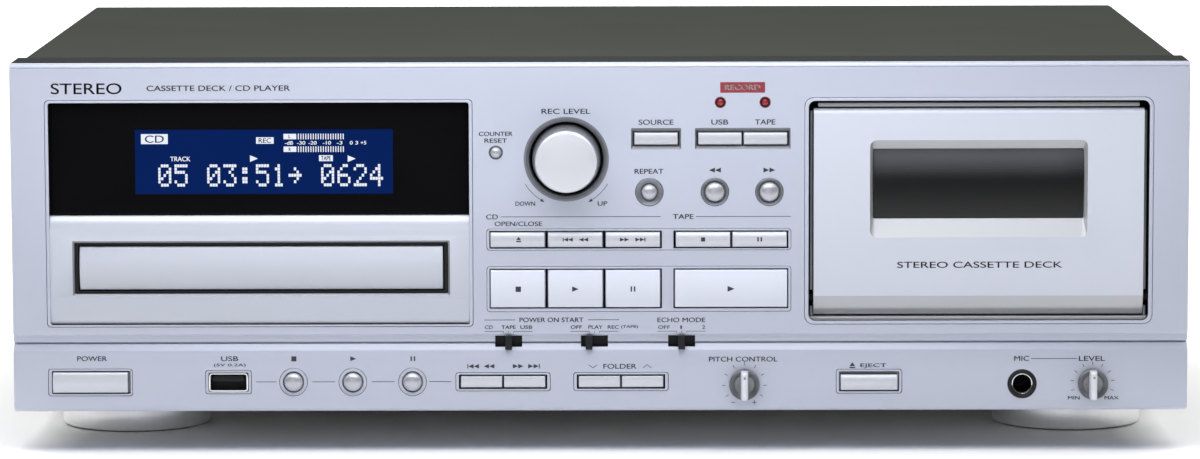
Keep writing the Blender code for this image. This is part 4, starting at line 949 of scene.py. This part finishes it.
DIGITS = {
    "0": ("01110", "10001", "10011", "10101", "11001", "10001", "01110"),
    "1": ("00100", "01100", "00100", "00100", "00100", "00100", "01110"),
    "2": ("01110", "10001", "00001", "00010", "00100", "01000", "11111"),
    "3": ("11111", "00010", "00100", "00010", "00001", "10001", "01110"),
    "4": ("00010", "00110", "01010", "10010", "11111", "00010", "00010"),
    "5": ("11111", "10000", "11110", "00001", "00001", "10001", "01110"),
    "6": ("00110", "01000", "10000", "11110", "10001", "10001", "01110"),
    ":": ("00000", "01100", "01100", "00000", "01100", "01100", "00000"),
    ">": ("00000", "00100", "00010", "11111", "00010", "00100", "00000"),
}


LINE_TEXT = "05 03:51> 0624"
LINE_START = (8.5, 11.1)
DOT, DOT_PITCH, DOT_GAP = (0.98, 1.19), 6.02, 0.13
BADGES = (("CD", 7.2, 20.4, 9.9, 3.7), ("REC", 48.0, 19.8, 6.5, 2.4), ("TAPE", 70.5, 13.2, 5.1, 2.2))
METERS = ((21.25, "L"), (16.55, "R"))
METER_BARS, METER_START, METER_PITCH = 19, 60.2, 0.92
METER_MARKS = ("-dB", "-30", "-20", "-10", "-3", "0", "3", "+5")
METER_MARK_X = (56.9, 61.4, 65.6, 70.9, 75.6, 79.9, 81.9, 84.4)


def draw_screen(left, low):
    """Lit segments: a line of dot characters, two level meters and small badges."""
    lit, dark = bmesh.new(), bmesh.new()
    for place, character in enumerate(LINE_TEXT):
        for row, bits in enumerate(DIGITS.get(character, ())):
            for column in [i for i, bit in enumerate(bits) if bit == "1"]:
                x = left + LINE_START[0] + place * DOT_PITCH + column * DOT[0]
                z = low + LINE_START[1] - (row + 1) * DOT[1]
                bar(lit, (x, x + DOT[0] - DOT_GAP), (z, z + DOT[1] - DOT_GAP))
    for badge, x, z, width, height in BADGES:
        bar(lit, about(left + x, width), about(low + z, height))
        words(dark, badge, (left + x, low + z), width * 0.7, height * 0.72)
    words(lit, "TRACK", (left + 16.7, low + 13.0), 7.4, 1.7)
    arrow(lit, left + 43.9, low + 13.1, 2.9)
    arrow(lit, left + 80.0, low + 13.0, 2.9)
    for z, side in METERS:
        bar(lit, (left + 54.9, left + 59.6), about(low + z, 2.0))
        words(dark, side, (left + 57.2, low + z), 0.8, 1.2)
        for i in range(METER_BARS):
            x = left + METER_START + i * METER_PITCH
            bar(lit, (x, x + 0.38), about(low + z, 2.1))
    for mark, x in zip(METER_MARKS, METER_MARK_X):
        words(lit, mark, (left + x, low + 18.9), 1.0 * len(mark), 1.3)
    print_on("screen_segments", lit, SCREEN_DEPTH, "chassis", LIT, "display_screen", 0.02)
    print_on("screen_badge_words", dark, SCREEN_DEPTH, "chassis", SCREEN, "display_screen", 0.04)


def bezel_section():
    """The drawer bezel's section: its top leans back to the light and its foot curls under."""
    _, (_, back), (low, high) = limits("drawer_bezel")
    foot = ((1.5, 0), (1.05, 0.25), (0.8, 0.8), (0.6, 1.8), (0.45, 3.2), (0.3, 5.6), (0.2, 9.2))
    crest = ((0.1, 6.0), (0.25, 4.4), (0.6, 3.0), (1.05, 1.8), (1.6, 0.8), (2.1, 0.25), (2.5, 0))
    points = [(depth(behind), low + up) for behind, up in foot]
    points += [(depth(behind), high - down) for behind, down in crest]
    return [(back, low), *points, (back, high)]


def build_drawer():
    x = limits("drawer_bezel")[0]
    shape = loft([[(px, y, z) for y, z in bezel_section()] for px in grown(x, 0.1)])
    bezel = fixed("drawer_surround", shape, BEZEL_SILVER, "panel_silver", ["drawer_bezel"])
    front_x, _, front_z = limits("drawer_front")
    front = (front_x, front_z)
    mouth, throat = boxed(front, (2.7, 2.3), 0.5, 2), boxed(front, (1.9, 1.5), 0.3, 2)
    sides = ((mouth, -4), (mouth, 0.1), (throat, 0.9), (throat, 12))
    cut(bezel, loft([at_depth(points, behind) for points, behind in sides]), DISH_GREY)
    soften(bezel, 0.2)
    fascia = crowned(front_x, front_z, -0.1, 4.2, 1.7, 0.45)
    new_piece("drawer_fascia", fascia, "tray", DRAWER_SILVER, "drawer_silver", ["drawer_front"])
    sides = plate([boxed(front, (1.85, 1.45)), boxed(front, (0.5, 0.5))], 1.6, 6.0, 0.2)
    fixed("drawer_sleeve", sides, BLACK, "mechanism_black")


DOOR_Z = limits("cassette_door")[2]
DOOR_X = about(middle("cassette_door")[0], 121.8)
DOOR_FRONT = 0.5
DOOR_BEND = 58.5  # where the door's front turns back into the strip at its foot
DOOR_STEP = 59.2
HINGE_Z = 57.0
HINGE_REACH = (60, 65.4)  # where the pins begin and end, from the middle of the door
GLASS_X, _, GLASS_Z = limits("door_window")
TROUGH_Z = (79.8, 115.9)


def door_section():
    """The door's section, from its lower back edge up the back and down the front."""
    low, high = DOOR_Z
    crest = ((1.7, 0), (1.0, 0.25), (0.5, 0.75), (0.15, 1.5), (0, 2.6))
    bend = ((0, 0.1), (0.35, -0.5), (1.4, -4.6))
    foot = ((2.6, 1.1), (3.4, 0.1), (4.4, 0))
    return [
        (depth(9.4), low + 1.6),
        (depth(9.4), DOOR_STEP),
        (depth(5.0), DOOR_STEP),
        (depth(5.0), high),
        *[(depth(DOOR_FRONT + behind), high - down) for behind, down in crest],
        *[(depth(DOOR_FRONT + behind), DOOR_BEND + up) for behind, up in bend],
        *[(depth(DOOR_FRONT + behind), low + up) for behind, up in foot],
    ]


def build_door():
    shape = loft([[(x, y, z) for y, z in door_section()] for x in DOOR_X])
    bmesh.ops.recalc_face_normals(shape, faces=shape.faces)
    # The foot strip below the bend gets the darker copy: painted shade.
    for face in shape.faces:
        if face.normal.y < -0.2 and face.calc_center_median().z < DOOR_BEND - 0.3:
            face.material_index = 1
    door = new_piece("door_shell", shape, "door", DOOR_SILVER, "door_silver", ["cassette_door"], [DOOR_STRIP_PAINTED_SHADE])
    mouth = outline(grown(GLASS_X, 1.7), TROUGH_Z, 2.4, 5)
    throat = boxed((GLASS_X, GLASS_Z), (0.5, 0.5), 0.6, 5)
    sides = ((mouth, -4), (mouth, DOOR_FRONT + 0.02), (throat, DOOR_FRONT + 3.0), (throat, 12))
    cut(door, loft([at_depth(points, behind) for points, behind in sides]), DISH_LIGHT)
    soften(door, 0.22)
    glass = crowned(grown(GLASS_X, 0.3), grown(GLASS_Z, 0.3), 2.6, 4.9, 1.1, 0.2)
    new_piece("door_glass", glass, "door", TINTED, "door_window", ["door_window"])
    hinge = middle("cassette_well")[0]
    ends = [[hinge + side * reach for reach in HINGE_REACH] for side in (-1, 1)]
    pins = [turned_along_x(start, end, depth(7.0), HINGE_Z, 2.0) for start, end in ends]
    new_piece("door_hinge_pins", join(*pins), "door", BLACK, "door_silver")
    pad = cuboid(about(hinge - 2.5, 24), (depth(5.5), depth(5.9)), (GLASS_Z[0] + 3.5, GLASS_Z[0] + 21))
    new_piece("window_pad", bevelled(pad, 0.15), "door", FELT, "holder_steel")


def turned_along_x(start, end, y, z, radius, steps=24):
    rings = [[(x, y + (py - y), pz) for py, pz in ring((y, z), radius, steps)] for x in (start, end)]
    return bevelled(loft(rings), 0.3)


def build_bay():
    """What shows in the gap round the door: a sloping ledge, side strips and a pale lip."""
    (left, right), (low, high) = BAY_INNER
    ledge = [(2.4, -1.0), (2.4, 0.75), (3.0, 1.2), (12.0, 1.2), (12.0, -1.0)]
    shape = loft([[(x, depth(behind), low + up) for behind, up in ledge] for x in (left, right)])
    fixed("bay_ledge", shape, DISH_LIGHT, "well_black")
    strips = []
    for x in ((left + 0.6, DOOR_X[0] - 0.3), (DOOR_X[1] + 0.3, right - 0.6)):
        for z in ((low + 1, HINGE_Z - 3), (HINGE_Z + 3, high - 4)):
            strips.append(bevelled(cuboid(x, (depth(3.6), depth(4.6)), z), 0.15))
    fixed("bay_side_strips", join(*strips), DISH_GREY, "well_black")
    lip = cuboid((left + 3.5, right - 3.5), (depth(2.8), depth(7.0)), (high - 2.5, high - 1.0))
    fixed("bay_lip", bevelled(lip, 0.3), DISH_LIGHT, "well_black")


# Sockets, lamps and lettering

# The turned sections of the microphone jack and the lamps, as (radius, depth) pairs.
JACK_FRONT = ((3.5, 1.0), (4.1, 0.9), (4.1, -0.1), (4.4, -0.35), (5.0, -0.35), (5.3, -0.1), (5.3, 3.4))
JACK_BACK = ((7.0, 3.6), (7.0, 31.0), (AXIS_RADIUS, 31.0), (AXIS_RADIUS, 29.0), (3.5, 29.0))
JACK_RING = ((3.3, 25), (3.3, 0.6), (3.5, 0.2), (3.8, 0.05), (4.05, 0.3), (4.05, 3))
USB_WALL = 0.6
LENS = ((0, -0.55), (0.9, -0.42), (1.5, 0.0), (1.62, 0.6), (1.62, 5.4), (0, 5.4))
LENS_RING = ((2.1, 3), (2.1, -0.05), (1.85, -0.1), (1.65, 0.35), (1.65, 3))


def build_sockets():
    x, _, z = limits("usb_port")
    inner_x, inner_z = grown(x, -USB_WALL), grown(z, -USB_WALL)
    shell = plate([outline(x, z, 1.0, 2), outline(inner_x, inner_z, 0.6, 2)], -0.3, 13.0, 0.15)
    fixed("usb_shell", shell, CHROME, "socket_metal", ["usb_port"])
    centre_x, centre_z = sum(x) / 2, sum(z) / 2
    tongue = cuboid(about(centre_x, 11.4), (depth(1.4), depth(12.5)), (centre_z + 0.2, centre_z + 2.1))
    back = cuboid(inner_x, (depth(12.0), depth(13.0)), inner_z)
    fixed("usb_tongue", join(bevelled(tongue, 0.15), back), BLACK, "socket_black")
    sizes = (depth(2.2), depth(9.0)), (centre_z + 0.1, centre_z + 0.22)
    contacts = [cuboid(about(centre_x + shift, 1.1), *sizes) for shift in (-3.5, -1.2, 1.2, 3.5)]
    fixed("usb_contacts", join(*contacts), CHROME, "socket_metal")
    jack = middle("mic_jack")[::2]
    fixed("mic_jack_ring", loft(tube(jack, JACK_RING), False, False), CHROME, "socket_metal")
    rims = tube(jack, [*JACK_FRONT, *JACK_BACK, JACK_FRONT[0]])
    fixed("mic_jack_body", loft(rims, False, False), BLACK, "socket_black", ["mic_jack"])
    for x in LAMP_X:
        fixed(f"record_lens_{x:.0f}", turned((x, LAMP_Z), LENS, 32), LAMP, "lamp_red")
        rims = tube((x, LAMP_Z), LENS_RING, 32)
        fixed(f"record_lens_ring_{x:.0f}", loft(rims, False, False), RED_INK, "lamp_red")


PANEL_WORDS = (
    ("STEREO", -189.1, 135.6, 26.0, 4.0),
    ("CASSETTE DECK / CD PLAYER", -140.4, 135.7, 52.8, 2.0),
    ("REC LEVEL", -12.4, 126.9, 17.9, 1.9),
    ("COUNTER", -38.3, 118.6, 12.4, 1.6),
    ("RESET", -38.3, 116.1, 8.3, 1.6),
    ("SOURCE", 20.8, 122.8, 12.8, 1.9),
    ("USB", 44.3, 122.8, 6.2, 1.9),
    ("TAPE", 61.0, 122.8, 7.5, 1.9),
    ("REPEAT", 18.2, 104.6, 10.6, 1.8),
    ("DOWN", -27.5, 92.7, 7.2, 1.6),
    ("UP", 1.0, 92.7, 3.5, 1.6),
    ("CD", -39.8, 87.8, 4.3, 1.8),
    ("TAPE", 30.8, 87.8, 7.6, 1.8),
    ("OPEN/CLOSE", -30.1, 85.2, 17.5, 1.7),
    ("POWER ON START", -18.0, 49.4, 23.6, 1.7),
    ("CD", -41.2, 46.7, 2.9, 1.3),
    ("TAPE", -33.9, 46.7, 5.2, 1.3),
    ("USB", -27.3, 46.7, 4.4, 1.3),
    ("OFF", -8.8, 46.7, 4.1, 1.3),
    ("PLAY", -1.7, 46.7, 5.2, 1.3),
    ("REC", 4.9, 46.7, 4.1, 1.3),
    ("(TAPE)", 10.9, 46.7, 6.2, 1.3),
    ("OFF", 23.7, 46.6, 4.3, 1.3),
    ("1", 30.0, 46.6, 0.5, 1.3),
    ("2", 38.3, 46.6, 1.1, 1.3),
    ("ECHO MODE", 30.1, 49.3, 17.7, 1.7),
    ("POWER", -188.3, 35.2, 11.0, 1.8),
    ("USB", -137.3, 35.1, 6.3, 1.8),
    ("(5V 0.2A)", -137.3, 32.6, 11.8, 1.3),
    ("FOLDER", 7.3, 32.0, 12.2, 1.8),
    ("PITCH CONTROL", 53.0, 34.6, 25.3, 1.8),
    ("EJECT", 101.2, 32.0, 9.6, 1.8),
    ("MIC", 156.1, 34.7, 5.5, 1.8),
    ("LEVEL", 182.1, 34.6, 9.6, 1.8),
    ("MIN", 175.5, 19.9, 4.3, 1.3),
    ("MAX", 189.5, 19.9, 5.2, 1.3),
)
PANEL_LINES = (
    ((-36.6, 87.8), (22.5, 87.8)),
    ((35.4, 87.8), (70.5, 87.8)),
    ((-42.8, 49.4), (-31.4, 49.4)),
    ((-4.5, 49.4), (7.1, 49.4)),
    ((-127.6, 26.4), (-120.0, 26.4)),
    ((-106.7, 26.4), (-98.2, 26.4)),
    ((-84.7, 26.4), (-76.2, 26.4)),
    ((-63.3, 26.4), (-55.2, 26.4)),
    ((159.6, 34.6), (176.6, 34.6)),
    ((56.4, 18.4), (57.9, 18.4)),
    ((57.15, 17.65), (57.15, 19.15)),
    ((48.5, 18.4), (50.0, 18.4)),
)


SMALL_SIGN_Z = 35.0
PAIR_SIGN_Z = 32.1
# What stands over the panel's keys: how to draw it, where, and its size and direction.
PANEL_SIGNS = (
    (wind_sign, "tape_rewind_button", 0, 105.0, -1),
    (wind_sign, "tape_forward_button", 0, 105.0, 1),
    (stop_sign, "usb_stop_button", 0.2, SMALL_SIGN_Z),
    (arrow, "usb_play_button", 0.2, SMALL_SIGN_Z, 2.2),
    (pause_sign, "usb_pause_button", 0.2, SMALL_SIGN_Z, 1.8),
    (skip_sign, "usb_skip_back_button", -0.3, PAIR_SIGN_Z, -1, 2.0),
    (skip_sign, "usb_skip_forward_button", 0.7, PAIR_SIGN_Z, 1, 2.0),
)
TICKS = {"pitch_knob": 31, "mic_level_knob": 27}  # degrees from one tick to the next
TICK_RADII = (7.0, 8.3)
BADGE = (52.7, 135.6)


def slide_marks(ink, x):
    """The bracket over a slide switch, with a tick for each of its places."""
    for side in (-1, 1):
        near, far = x + side * 1.9, x + side * 8.9
        stroke(ink, (far, 45.1), (near, 45.1), 0.18)
        stroke(ink, (near, 45.2), (near, 44.5), 0.18)
    stroke(ink, (x, 45.2), (x, 44.5), 0.18)


def knob_ticks(ink, node, spread):
    centre = Vector(middle(node)[::2])
    for step in range(-4, 5):
        angle = math.radians(90 - step * spread)
        way = Vector((math.cos(angle), math.sin(angle)))
        stroke(ink, *[centre + way * radius for radius in TICK_RADII], 0.22)


def build_lettering():
    ink = bmesh.new()
    for text, x, z, width, height in PANEL_WORDS:
        words(ink, text, (x, z), width, height)
    for start, end in PANEL_LINES:
        stroke(ink, start, end)
    for x, _ in SLOT_CENTRES:
        slide_marks(ink, x)
    for draw, node, shift, z, *form in PANEL_SIGNS:
        draw(ink, middle(node)[0] + shift, z, *form)
    chevron(ink, -2.7, 32.0, -1)
    chevron(ink, 17.4, 32.0, 1)
    eject_sign(ink, 93.4, 32.0, 2.2)
    arc_arrow(ink, KNOB, 17.8, 211, 238)
    arc_arrow(ink, KNOB, 17.8, 329, 302)
    for node, spread in TICKS.items():
        knob_ticks(ink, node, spread)
    print_on("panel_lettering", ink, 0, "chassis", INK, "panel_silver")
    badge, badge_words, door_ink = bmesh.new(), bmesh.new(), bmesh.new()
    bar(badge, about(BADGE[0], 16.5), about(BADGE[1], 3.9))
    print_on("record_badge", badge, 0, "chassis", RED_INK, "panel_silver")
    words(badge_words, "RECORD", BADGE, 12.9, 1.9)
    print_on("record_badge_words", badge_words, 0, "chassis", PALE_INK, "panel_silver", 2 * PRINT_LIFT)
    words(door_ink, "STEREO CASSETTE DECK", (middle("cassette_well")[0] + 0.5, 69.6), 61.0, 2.3)
    print_on("door_lettering", door_ink, DOOR_FRONT, "door", INK, "door_silver")


# Casing, feet and inner parts


FOOT_SIDE = ((0, 1.6), (-0.2, 0.9), (-0.8, 0.5))  # the foot's rounded lower edge, as (out, height)
PAD_INSET = 2.5


def build_feet():
    for node in [name for name in NODES if name.startswith("foot_")]:
        x, y, (_, top) = limits(node)
        radius = (x[1] - x[0]) / 2
        centre = (sum(x) / 2, sum(y) / 2)
        crest = [(0, top), (radius - 1.2, top), (radius - 0.4, top - 0.3), (radius, top - 1.0)]
        side = [(radius + out, height) for out, height in FOOT_SIDE]
        body = upright(centre, [*crest, *side, (0, 0.5)], 96)
        fixed(f"{node}_ring", body, FOOT_METAL, "foot_silver", [node])
        edge = radius - PAD_INSET
        pad = upright(centre, [(0, 0.6), (edge, 0.6), (edge, 0.2), (edge - 0.2, 0.0), (0, 0.0)], 64)
        fixed(f"{node}_pad", pad, RUBBER, "foot_silver")


SCREW_RADIUS = 2.6
SCREW_HEAD = ((1, 0), (1, 0.5), (0.8, 1.1), (0.4, 1.4), (0, 1.45))  # (share of the radius, height)
REAR = limits("rear_panel")[1][1]
REAR_SCREWS = ((-200, -70, 60, 200), (-205, 10, 205), (60, 96))  # along the top, the foot and the sockets
SIDE_SCREW_Z = 40


def screw(centre, axis):
    """A dome screw head at a point, facing along an axis, with a cross drawn into it."""
    head = upright((0, 0), [(SCREW_RADIUS * share, height) for share, height in SCREW_HEAD], 24)
    slots = [cuboid(about(0, SCREW_RADIUS * 1.1), about(0, 0.5), (0.9, 1.5)) for _ in range(2)]
    slots[1].transform(Matrix.Rotation(math.pi / 2, 4, "Z"))
    cross = join(*slots)
    turn = Vector((0, 0, 1)).rotation_difference(Vector(axis)).to_matrix().to_4x4()
    for shape in (head, cross):
        shape.transform(Matrix.Translation(centre) @ turn)
    return head, cross


def build_screws():
    cover_x, cover_y, cover_z = limits("top_cover")
    spots = []
    for y in (cover_y[0] + 35, cover_y[1] - 35):
        spots += [((cover_x[1], y, SIDE_SCREW_Z), (1, 0, 0)), ((cover_x[0], y, SIDE_SCREW_Z), (-1, 0, 0))]
    for places, z in zip(REAR_SCREWS, (cover_z[1] - 8, 24, 56)):
        spots += [((x, REAR, z), (0, 1, 0)) for x in places]
    heads, crosses = zip(*[screw(Vector(centre), axis) for centre, axis in spots])
    fixed("case_screws", join(*heads), CHROME, "pan_steel")
    fixed("case_screw_crosses", join(*crosses), BLACK, "well_black")


# The rear. A place there is (x, z); words and borders are turned about, so their x has the other sign.

JACK_X = (70.0, 86.0)  # the rear sockets' columns, out and in
JACK_Z = (48.0, 64.0)  # and their rows, right and left
JACKS = (sum(JACK_X) / 2, 60)
INLET = (-165.0, 60.0)
BORDERS = ((JACKS, (44, 44)), (INLET, (42, 38)))  # each with its width and height
BORDER_WIDTH = 0.9
LOUVRES_X = (-205.0, -125.0)
LOUVRES_Z = (84.0, 92.0, 100.0, 108.0, 116.0, 124.0)
LOUVRE_HEIGHT, LOUVRE_REACH, LOUVRE_END = 4.5, 2.6, 2
REAR_WORDS = (
    ("OUT", JACK_X[0], 71.8, 5.4, 2.0),
    ("IN", JACK_X[1], 71.8, 3.0, 2.0),
    ("LINE", JACKS[0], 76.6, 7.6, 2.4),
    ("L", JACKS[0], JACK_Z[1], 1.5, 2.4),
    ("R", JACKS[0], JACK_Z[0], 1.8, 2.4),
    ("AC IN", INLET[0], 74.4, 9.6, 2.4),
)
TURN_ABOUT = Matrix.Rotation(math.pi, 4, "Z")


def sleeves(places, profile):
    """Round shells behind the deck at each (x, z), from (radius, y) pairs."""
    shells = []
    for place in places:
        rims = [[(x, y, z) for x, z in ring(place, radius, 32)] for radius, y in profile]
        shells.append(loft(rims, False, False))
    return join(*shells)


def louvre(low, high):
    """A pressed cooling slot: a hood that opens downward, closed at both ends."""
    left, right = LOUVRES_X
    hood = [(0, high), (0.35, high - 0.6), (0.75, high - 1.8), (1.0, low + 0.4), (0.9, low), (0.0, low)]
    ends = ((left, 0.1), (left + LOUVRE_END, LOUVRE_REACH), (right - LOUVRE_END, LOUVRE_REACH), (right, 0.1))
    return loft([[(x, REAR + share * reach, z) for share, z in hood] for x, reach in ends])


def border(centre, size):
    """A raised border about some sockets, pressed into the rear panel."""
    x, z = about(-centre[0], size[0]), about(centre[1], size[1])
    inner = boxed((x, z), (-BORDER_WIDTH, -BORDER_WIDTH), 1.4)
    shape = plate([outline(x, z, 2.0), inner], -0.35, 0.3, 0.15)
    shape.transform(Matrix.Translation((0, REAR, 0)) @ TURN_ABOUT @ Matrix.Translation((0, -FACE, 0)))
    return shape


def build_rear():
    """Socket rings and sleeves, cooling louvres, pressed borders, and printed labels."""
    tip = limits("main_board")[1][1]
    cup = [(4.4, REAR), (4.4, REAR + 1.2), (3.9, REAR + 1.6), (2.2, REAR + 1.7), (2.2, REAR)]
    barrel = [(4.15, REAR + 0.5), (4.15, tip - 0.3), (3.85, tip), (1.75, tip), (1.7, tip - 0.4), (1.7, REAR)]
    core = [(1.66, tip - 0.5), (0.9, tip - 0.5), (0.85, REAR - 0.5), (0.01, REAR - 0.5)]
    for z, finish, name in ((JACK_Z[1], PALE_INK, "left"), (JACK_Z[0], RED_PLASTIC, "right")):
        fixed(f"audio_socket_{name}_rings", sleeves([(x, z) for x in JACK_X], cup), finish, "socket_black")
    places = [(x, z) for x in JACK_X for z in JACK_Z]
    fixed("audio_socket_sleeves", sleeves(places, barrel), CHROME, "socket_metal")
    fixed("audio_socket_cores", sleeves(places, core), BLACK, "socket_black")
    louvres = join(*[louvre(low, low + LOUVRE_HEIGHT) for low in LOUVRES_Z])
    fixed("cooling_louvres", louvres, REAR_PAINT, "cover_grey")
    fixed("rear_borders", join(*[border(*each) for each in BORDERS]), REAR_PAINT, "cover_grey")
    ink = bmesh.new()
    for text, x, z, width, height in REAR_WORDS:
        words(ink, text, (-x, z), width, height)
    ink.transform(Matrix.Translation((0, REAR + PRINT_LIFT, 0)) @ TURN_ABOUT)
    fixed("rear_lettering", ink, PALE_INK, "cover_grey")


# The CAD nodes that show as they are: their finish, and whether their edges are rounded.
CAD_FINISHES = {
    "top_cover": (COVER, False),
    "rear_panel": (REAR_PAINT, True),
    "chassis_base": (STEEL, True),
    "cassette_well": (BLACK, True),
    "disc_mechanism_frame": (BLACK, True),
    "disc_tray": (BLACK, True),
    "disc_turntable": (RUBBER, False),
    "cassette_holder": (STEEL, True),
    "supply_spindle": (BLACK, False),
    "takeup_spindle": (BLACK, False),
    "capstan_flywheel": (CHROME, False),
    "head_carriage": (STEEL, True),
    "power_transformer": (COPPER, False),
    "main_board": (BOARD, False),
    "mains_inlet": (BLACK, True),
    "record_lamps": (BLACK, False),
}
WELD = 0.005  # points of a CAD mesh this close are one point
CAD_EDGE = 0.25  # how far its edges are rounded


def finish_cad_nodes():
    """Gives each CAD node that still shows its finish, and rounds the edges of some."""
    for name, (finish, rounded) in CAD_FINISHES.items():
        node = NODES[name]
        node.data.materials.clear()
        node.data.materials.append(finish)
        if rounded:
            weld = node.modifiers.new("Weld", "WELD")
            weld.merge_threshold = WELD * MM
            soften(node, CAD_EDGE)


# Studio

CAMERA_PLACE = Vector((9.3, -2018.7, 302.6))
CAMERA_DOWN = 6.671  # degrees below level
CAMERA_TURN = 0.282
CAMERA_ROLL = 0.146
CAMERA_LENS = 153.51
CAMERA_SENSOR = 36
CAMERA_CLIP = (0.1, 50)
FLOOR_SIZE = 12  # metres to each side
# Each light's place, target and size in metres, its power and its colour.
LIGHTS = {
    "overhead": ((0, 1.3, 2.0), (0, 1.3, 0), (6.0, 4.4), 206, (1, 1, 1)),
    "key": ((-0.04, -0.34, 0.37), (-0.03, -0.14, 0.14), (0.5, 0.18), 1.1, (0.93, 0.95, 1.0)),
    "card": ((-0.5, -3.4, 0.6), (0, 0, 0.1), (2.4, 1.0), 7, (0.95, 0.96, 1.0)),
}


def area_light(name, place, target, size, power, colour):
    light = bpy.data.lights.new(name, "AREA")
    light.shape = "RECTANGLE"
    light.size, light.size_y = size
    light.energy = power
    light.color = colour
    lamp = link_object(name, light)
    lamp.location = place
    lamp.rotation_euler = (Vector(target) - Vector(place)).to_track_quat("-Z", "Y").to_euler()


def faded(tree, place, source, axis, near, far, target, socket):
    """Drives a socket by the place along an axis. near and far are (place, value) pairs."""
    ends = {"From Min": near[0], "From Max": far[0], "To Min": near[1], "To Max": far[1]}
    fade = add_node(tree, "MapRange", ends)
    parts = add_node(tree, "SeparateXYZ")
    wire(
        tree,
        (place, source, parts, "Vector"),
        (parts, axis, fade, "Value"),
        (fade, "Result", target, socket),
    )


def studio_world():
    """Plain light all round, a little stronger from the front."""
    world = bpy.data.worlds.new("studio")
    world.use_nodes = True
    tree = world.node_tree
    background = tree.nodes["Background"]
    background.inputs["Color"].default_value = (0.96, 0.97, 1.0, 1)
    place = add_node(tree, "TexCoord")
    faded(tree, place, "Generated", "Y", (-1.0, 0.1), (1.0, 0.08), background, "Strength")
    return world


def floor_paper():
    """White paper under and behind the deck, that darkens to grey in front of it."""
    made = surface("floor_paper", (0.93, 0.93, 0.93), 0.0, 0.8, 20, 0.01, **MATT)
    tree = made.node_tree
    place = next(node for node in tree.nodes if node.bl_idname == "ShaderNodeTexCoord")
    shader = tree.nodes["Principled BSDF"]
    faded(tree, place, "Object", "Y", (-0.6, 0.4), (-0.17, 0.93), shader, "Base Color")
    return made


def build_studio():
    scene = bpy.context.scene
    scene.view_settings.view_transform = "Standard"
    scene.world = studio_world()
    floor_mesh = bpy.data.meshes.new("floor")
    shape = bmesh.new()
    bmesh.ops.create_grid(shape, x_segments=1, y_segments=1, size=FLOOR_SIZE)
    shape.to_mesh(floor_mesh)
    shape.free()
    floor_mesh.materials.append(floor_paper())
    floor = link_object("floor", floor_mesh)
    for name, settings in LIGHTS.items():
        area_light(name, *settings)
    camera_data = bpy.data.cameras.new("camera")
    camera_data.lens = CAMERA_LENS
    camera_data.sensor_width = CAMERA_SENSOR
    camera_data.clip_start, camera_data.clip_end = CAMERA_CLIP
    camera = link_object("camera", camera_data)
    camera.matrix_world = (
        Matrix.Translation(CAMERA_PLACE * MM)
        @ Matrix.Rotation(math.radians(CAMERA_TURN), 4, "Z")
        @ Matrix.Rotation(math.radians(90 - CAMERA_DOWN), 4, "X")
        @ Matrix.Rotation(math.radians(-CAMERA_ROLL), 4, "Z")
    )
    scene.camera = camera


build_panel()
build_panel_frames()
build_backing()
build_keys()
build_key_signs()
build_knobs()
build_slides()
build_display()
build_drawer()
build_door()
build_bay()
build_sockets()
build_lettering()
build_feet()
build_screws()
build_rear()
finish_cad_nodes()
build_studio()
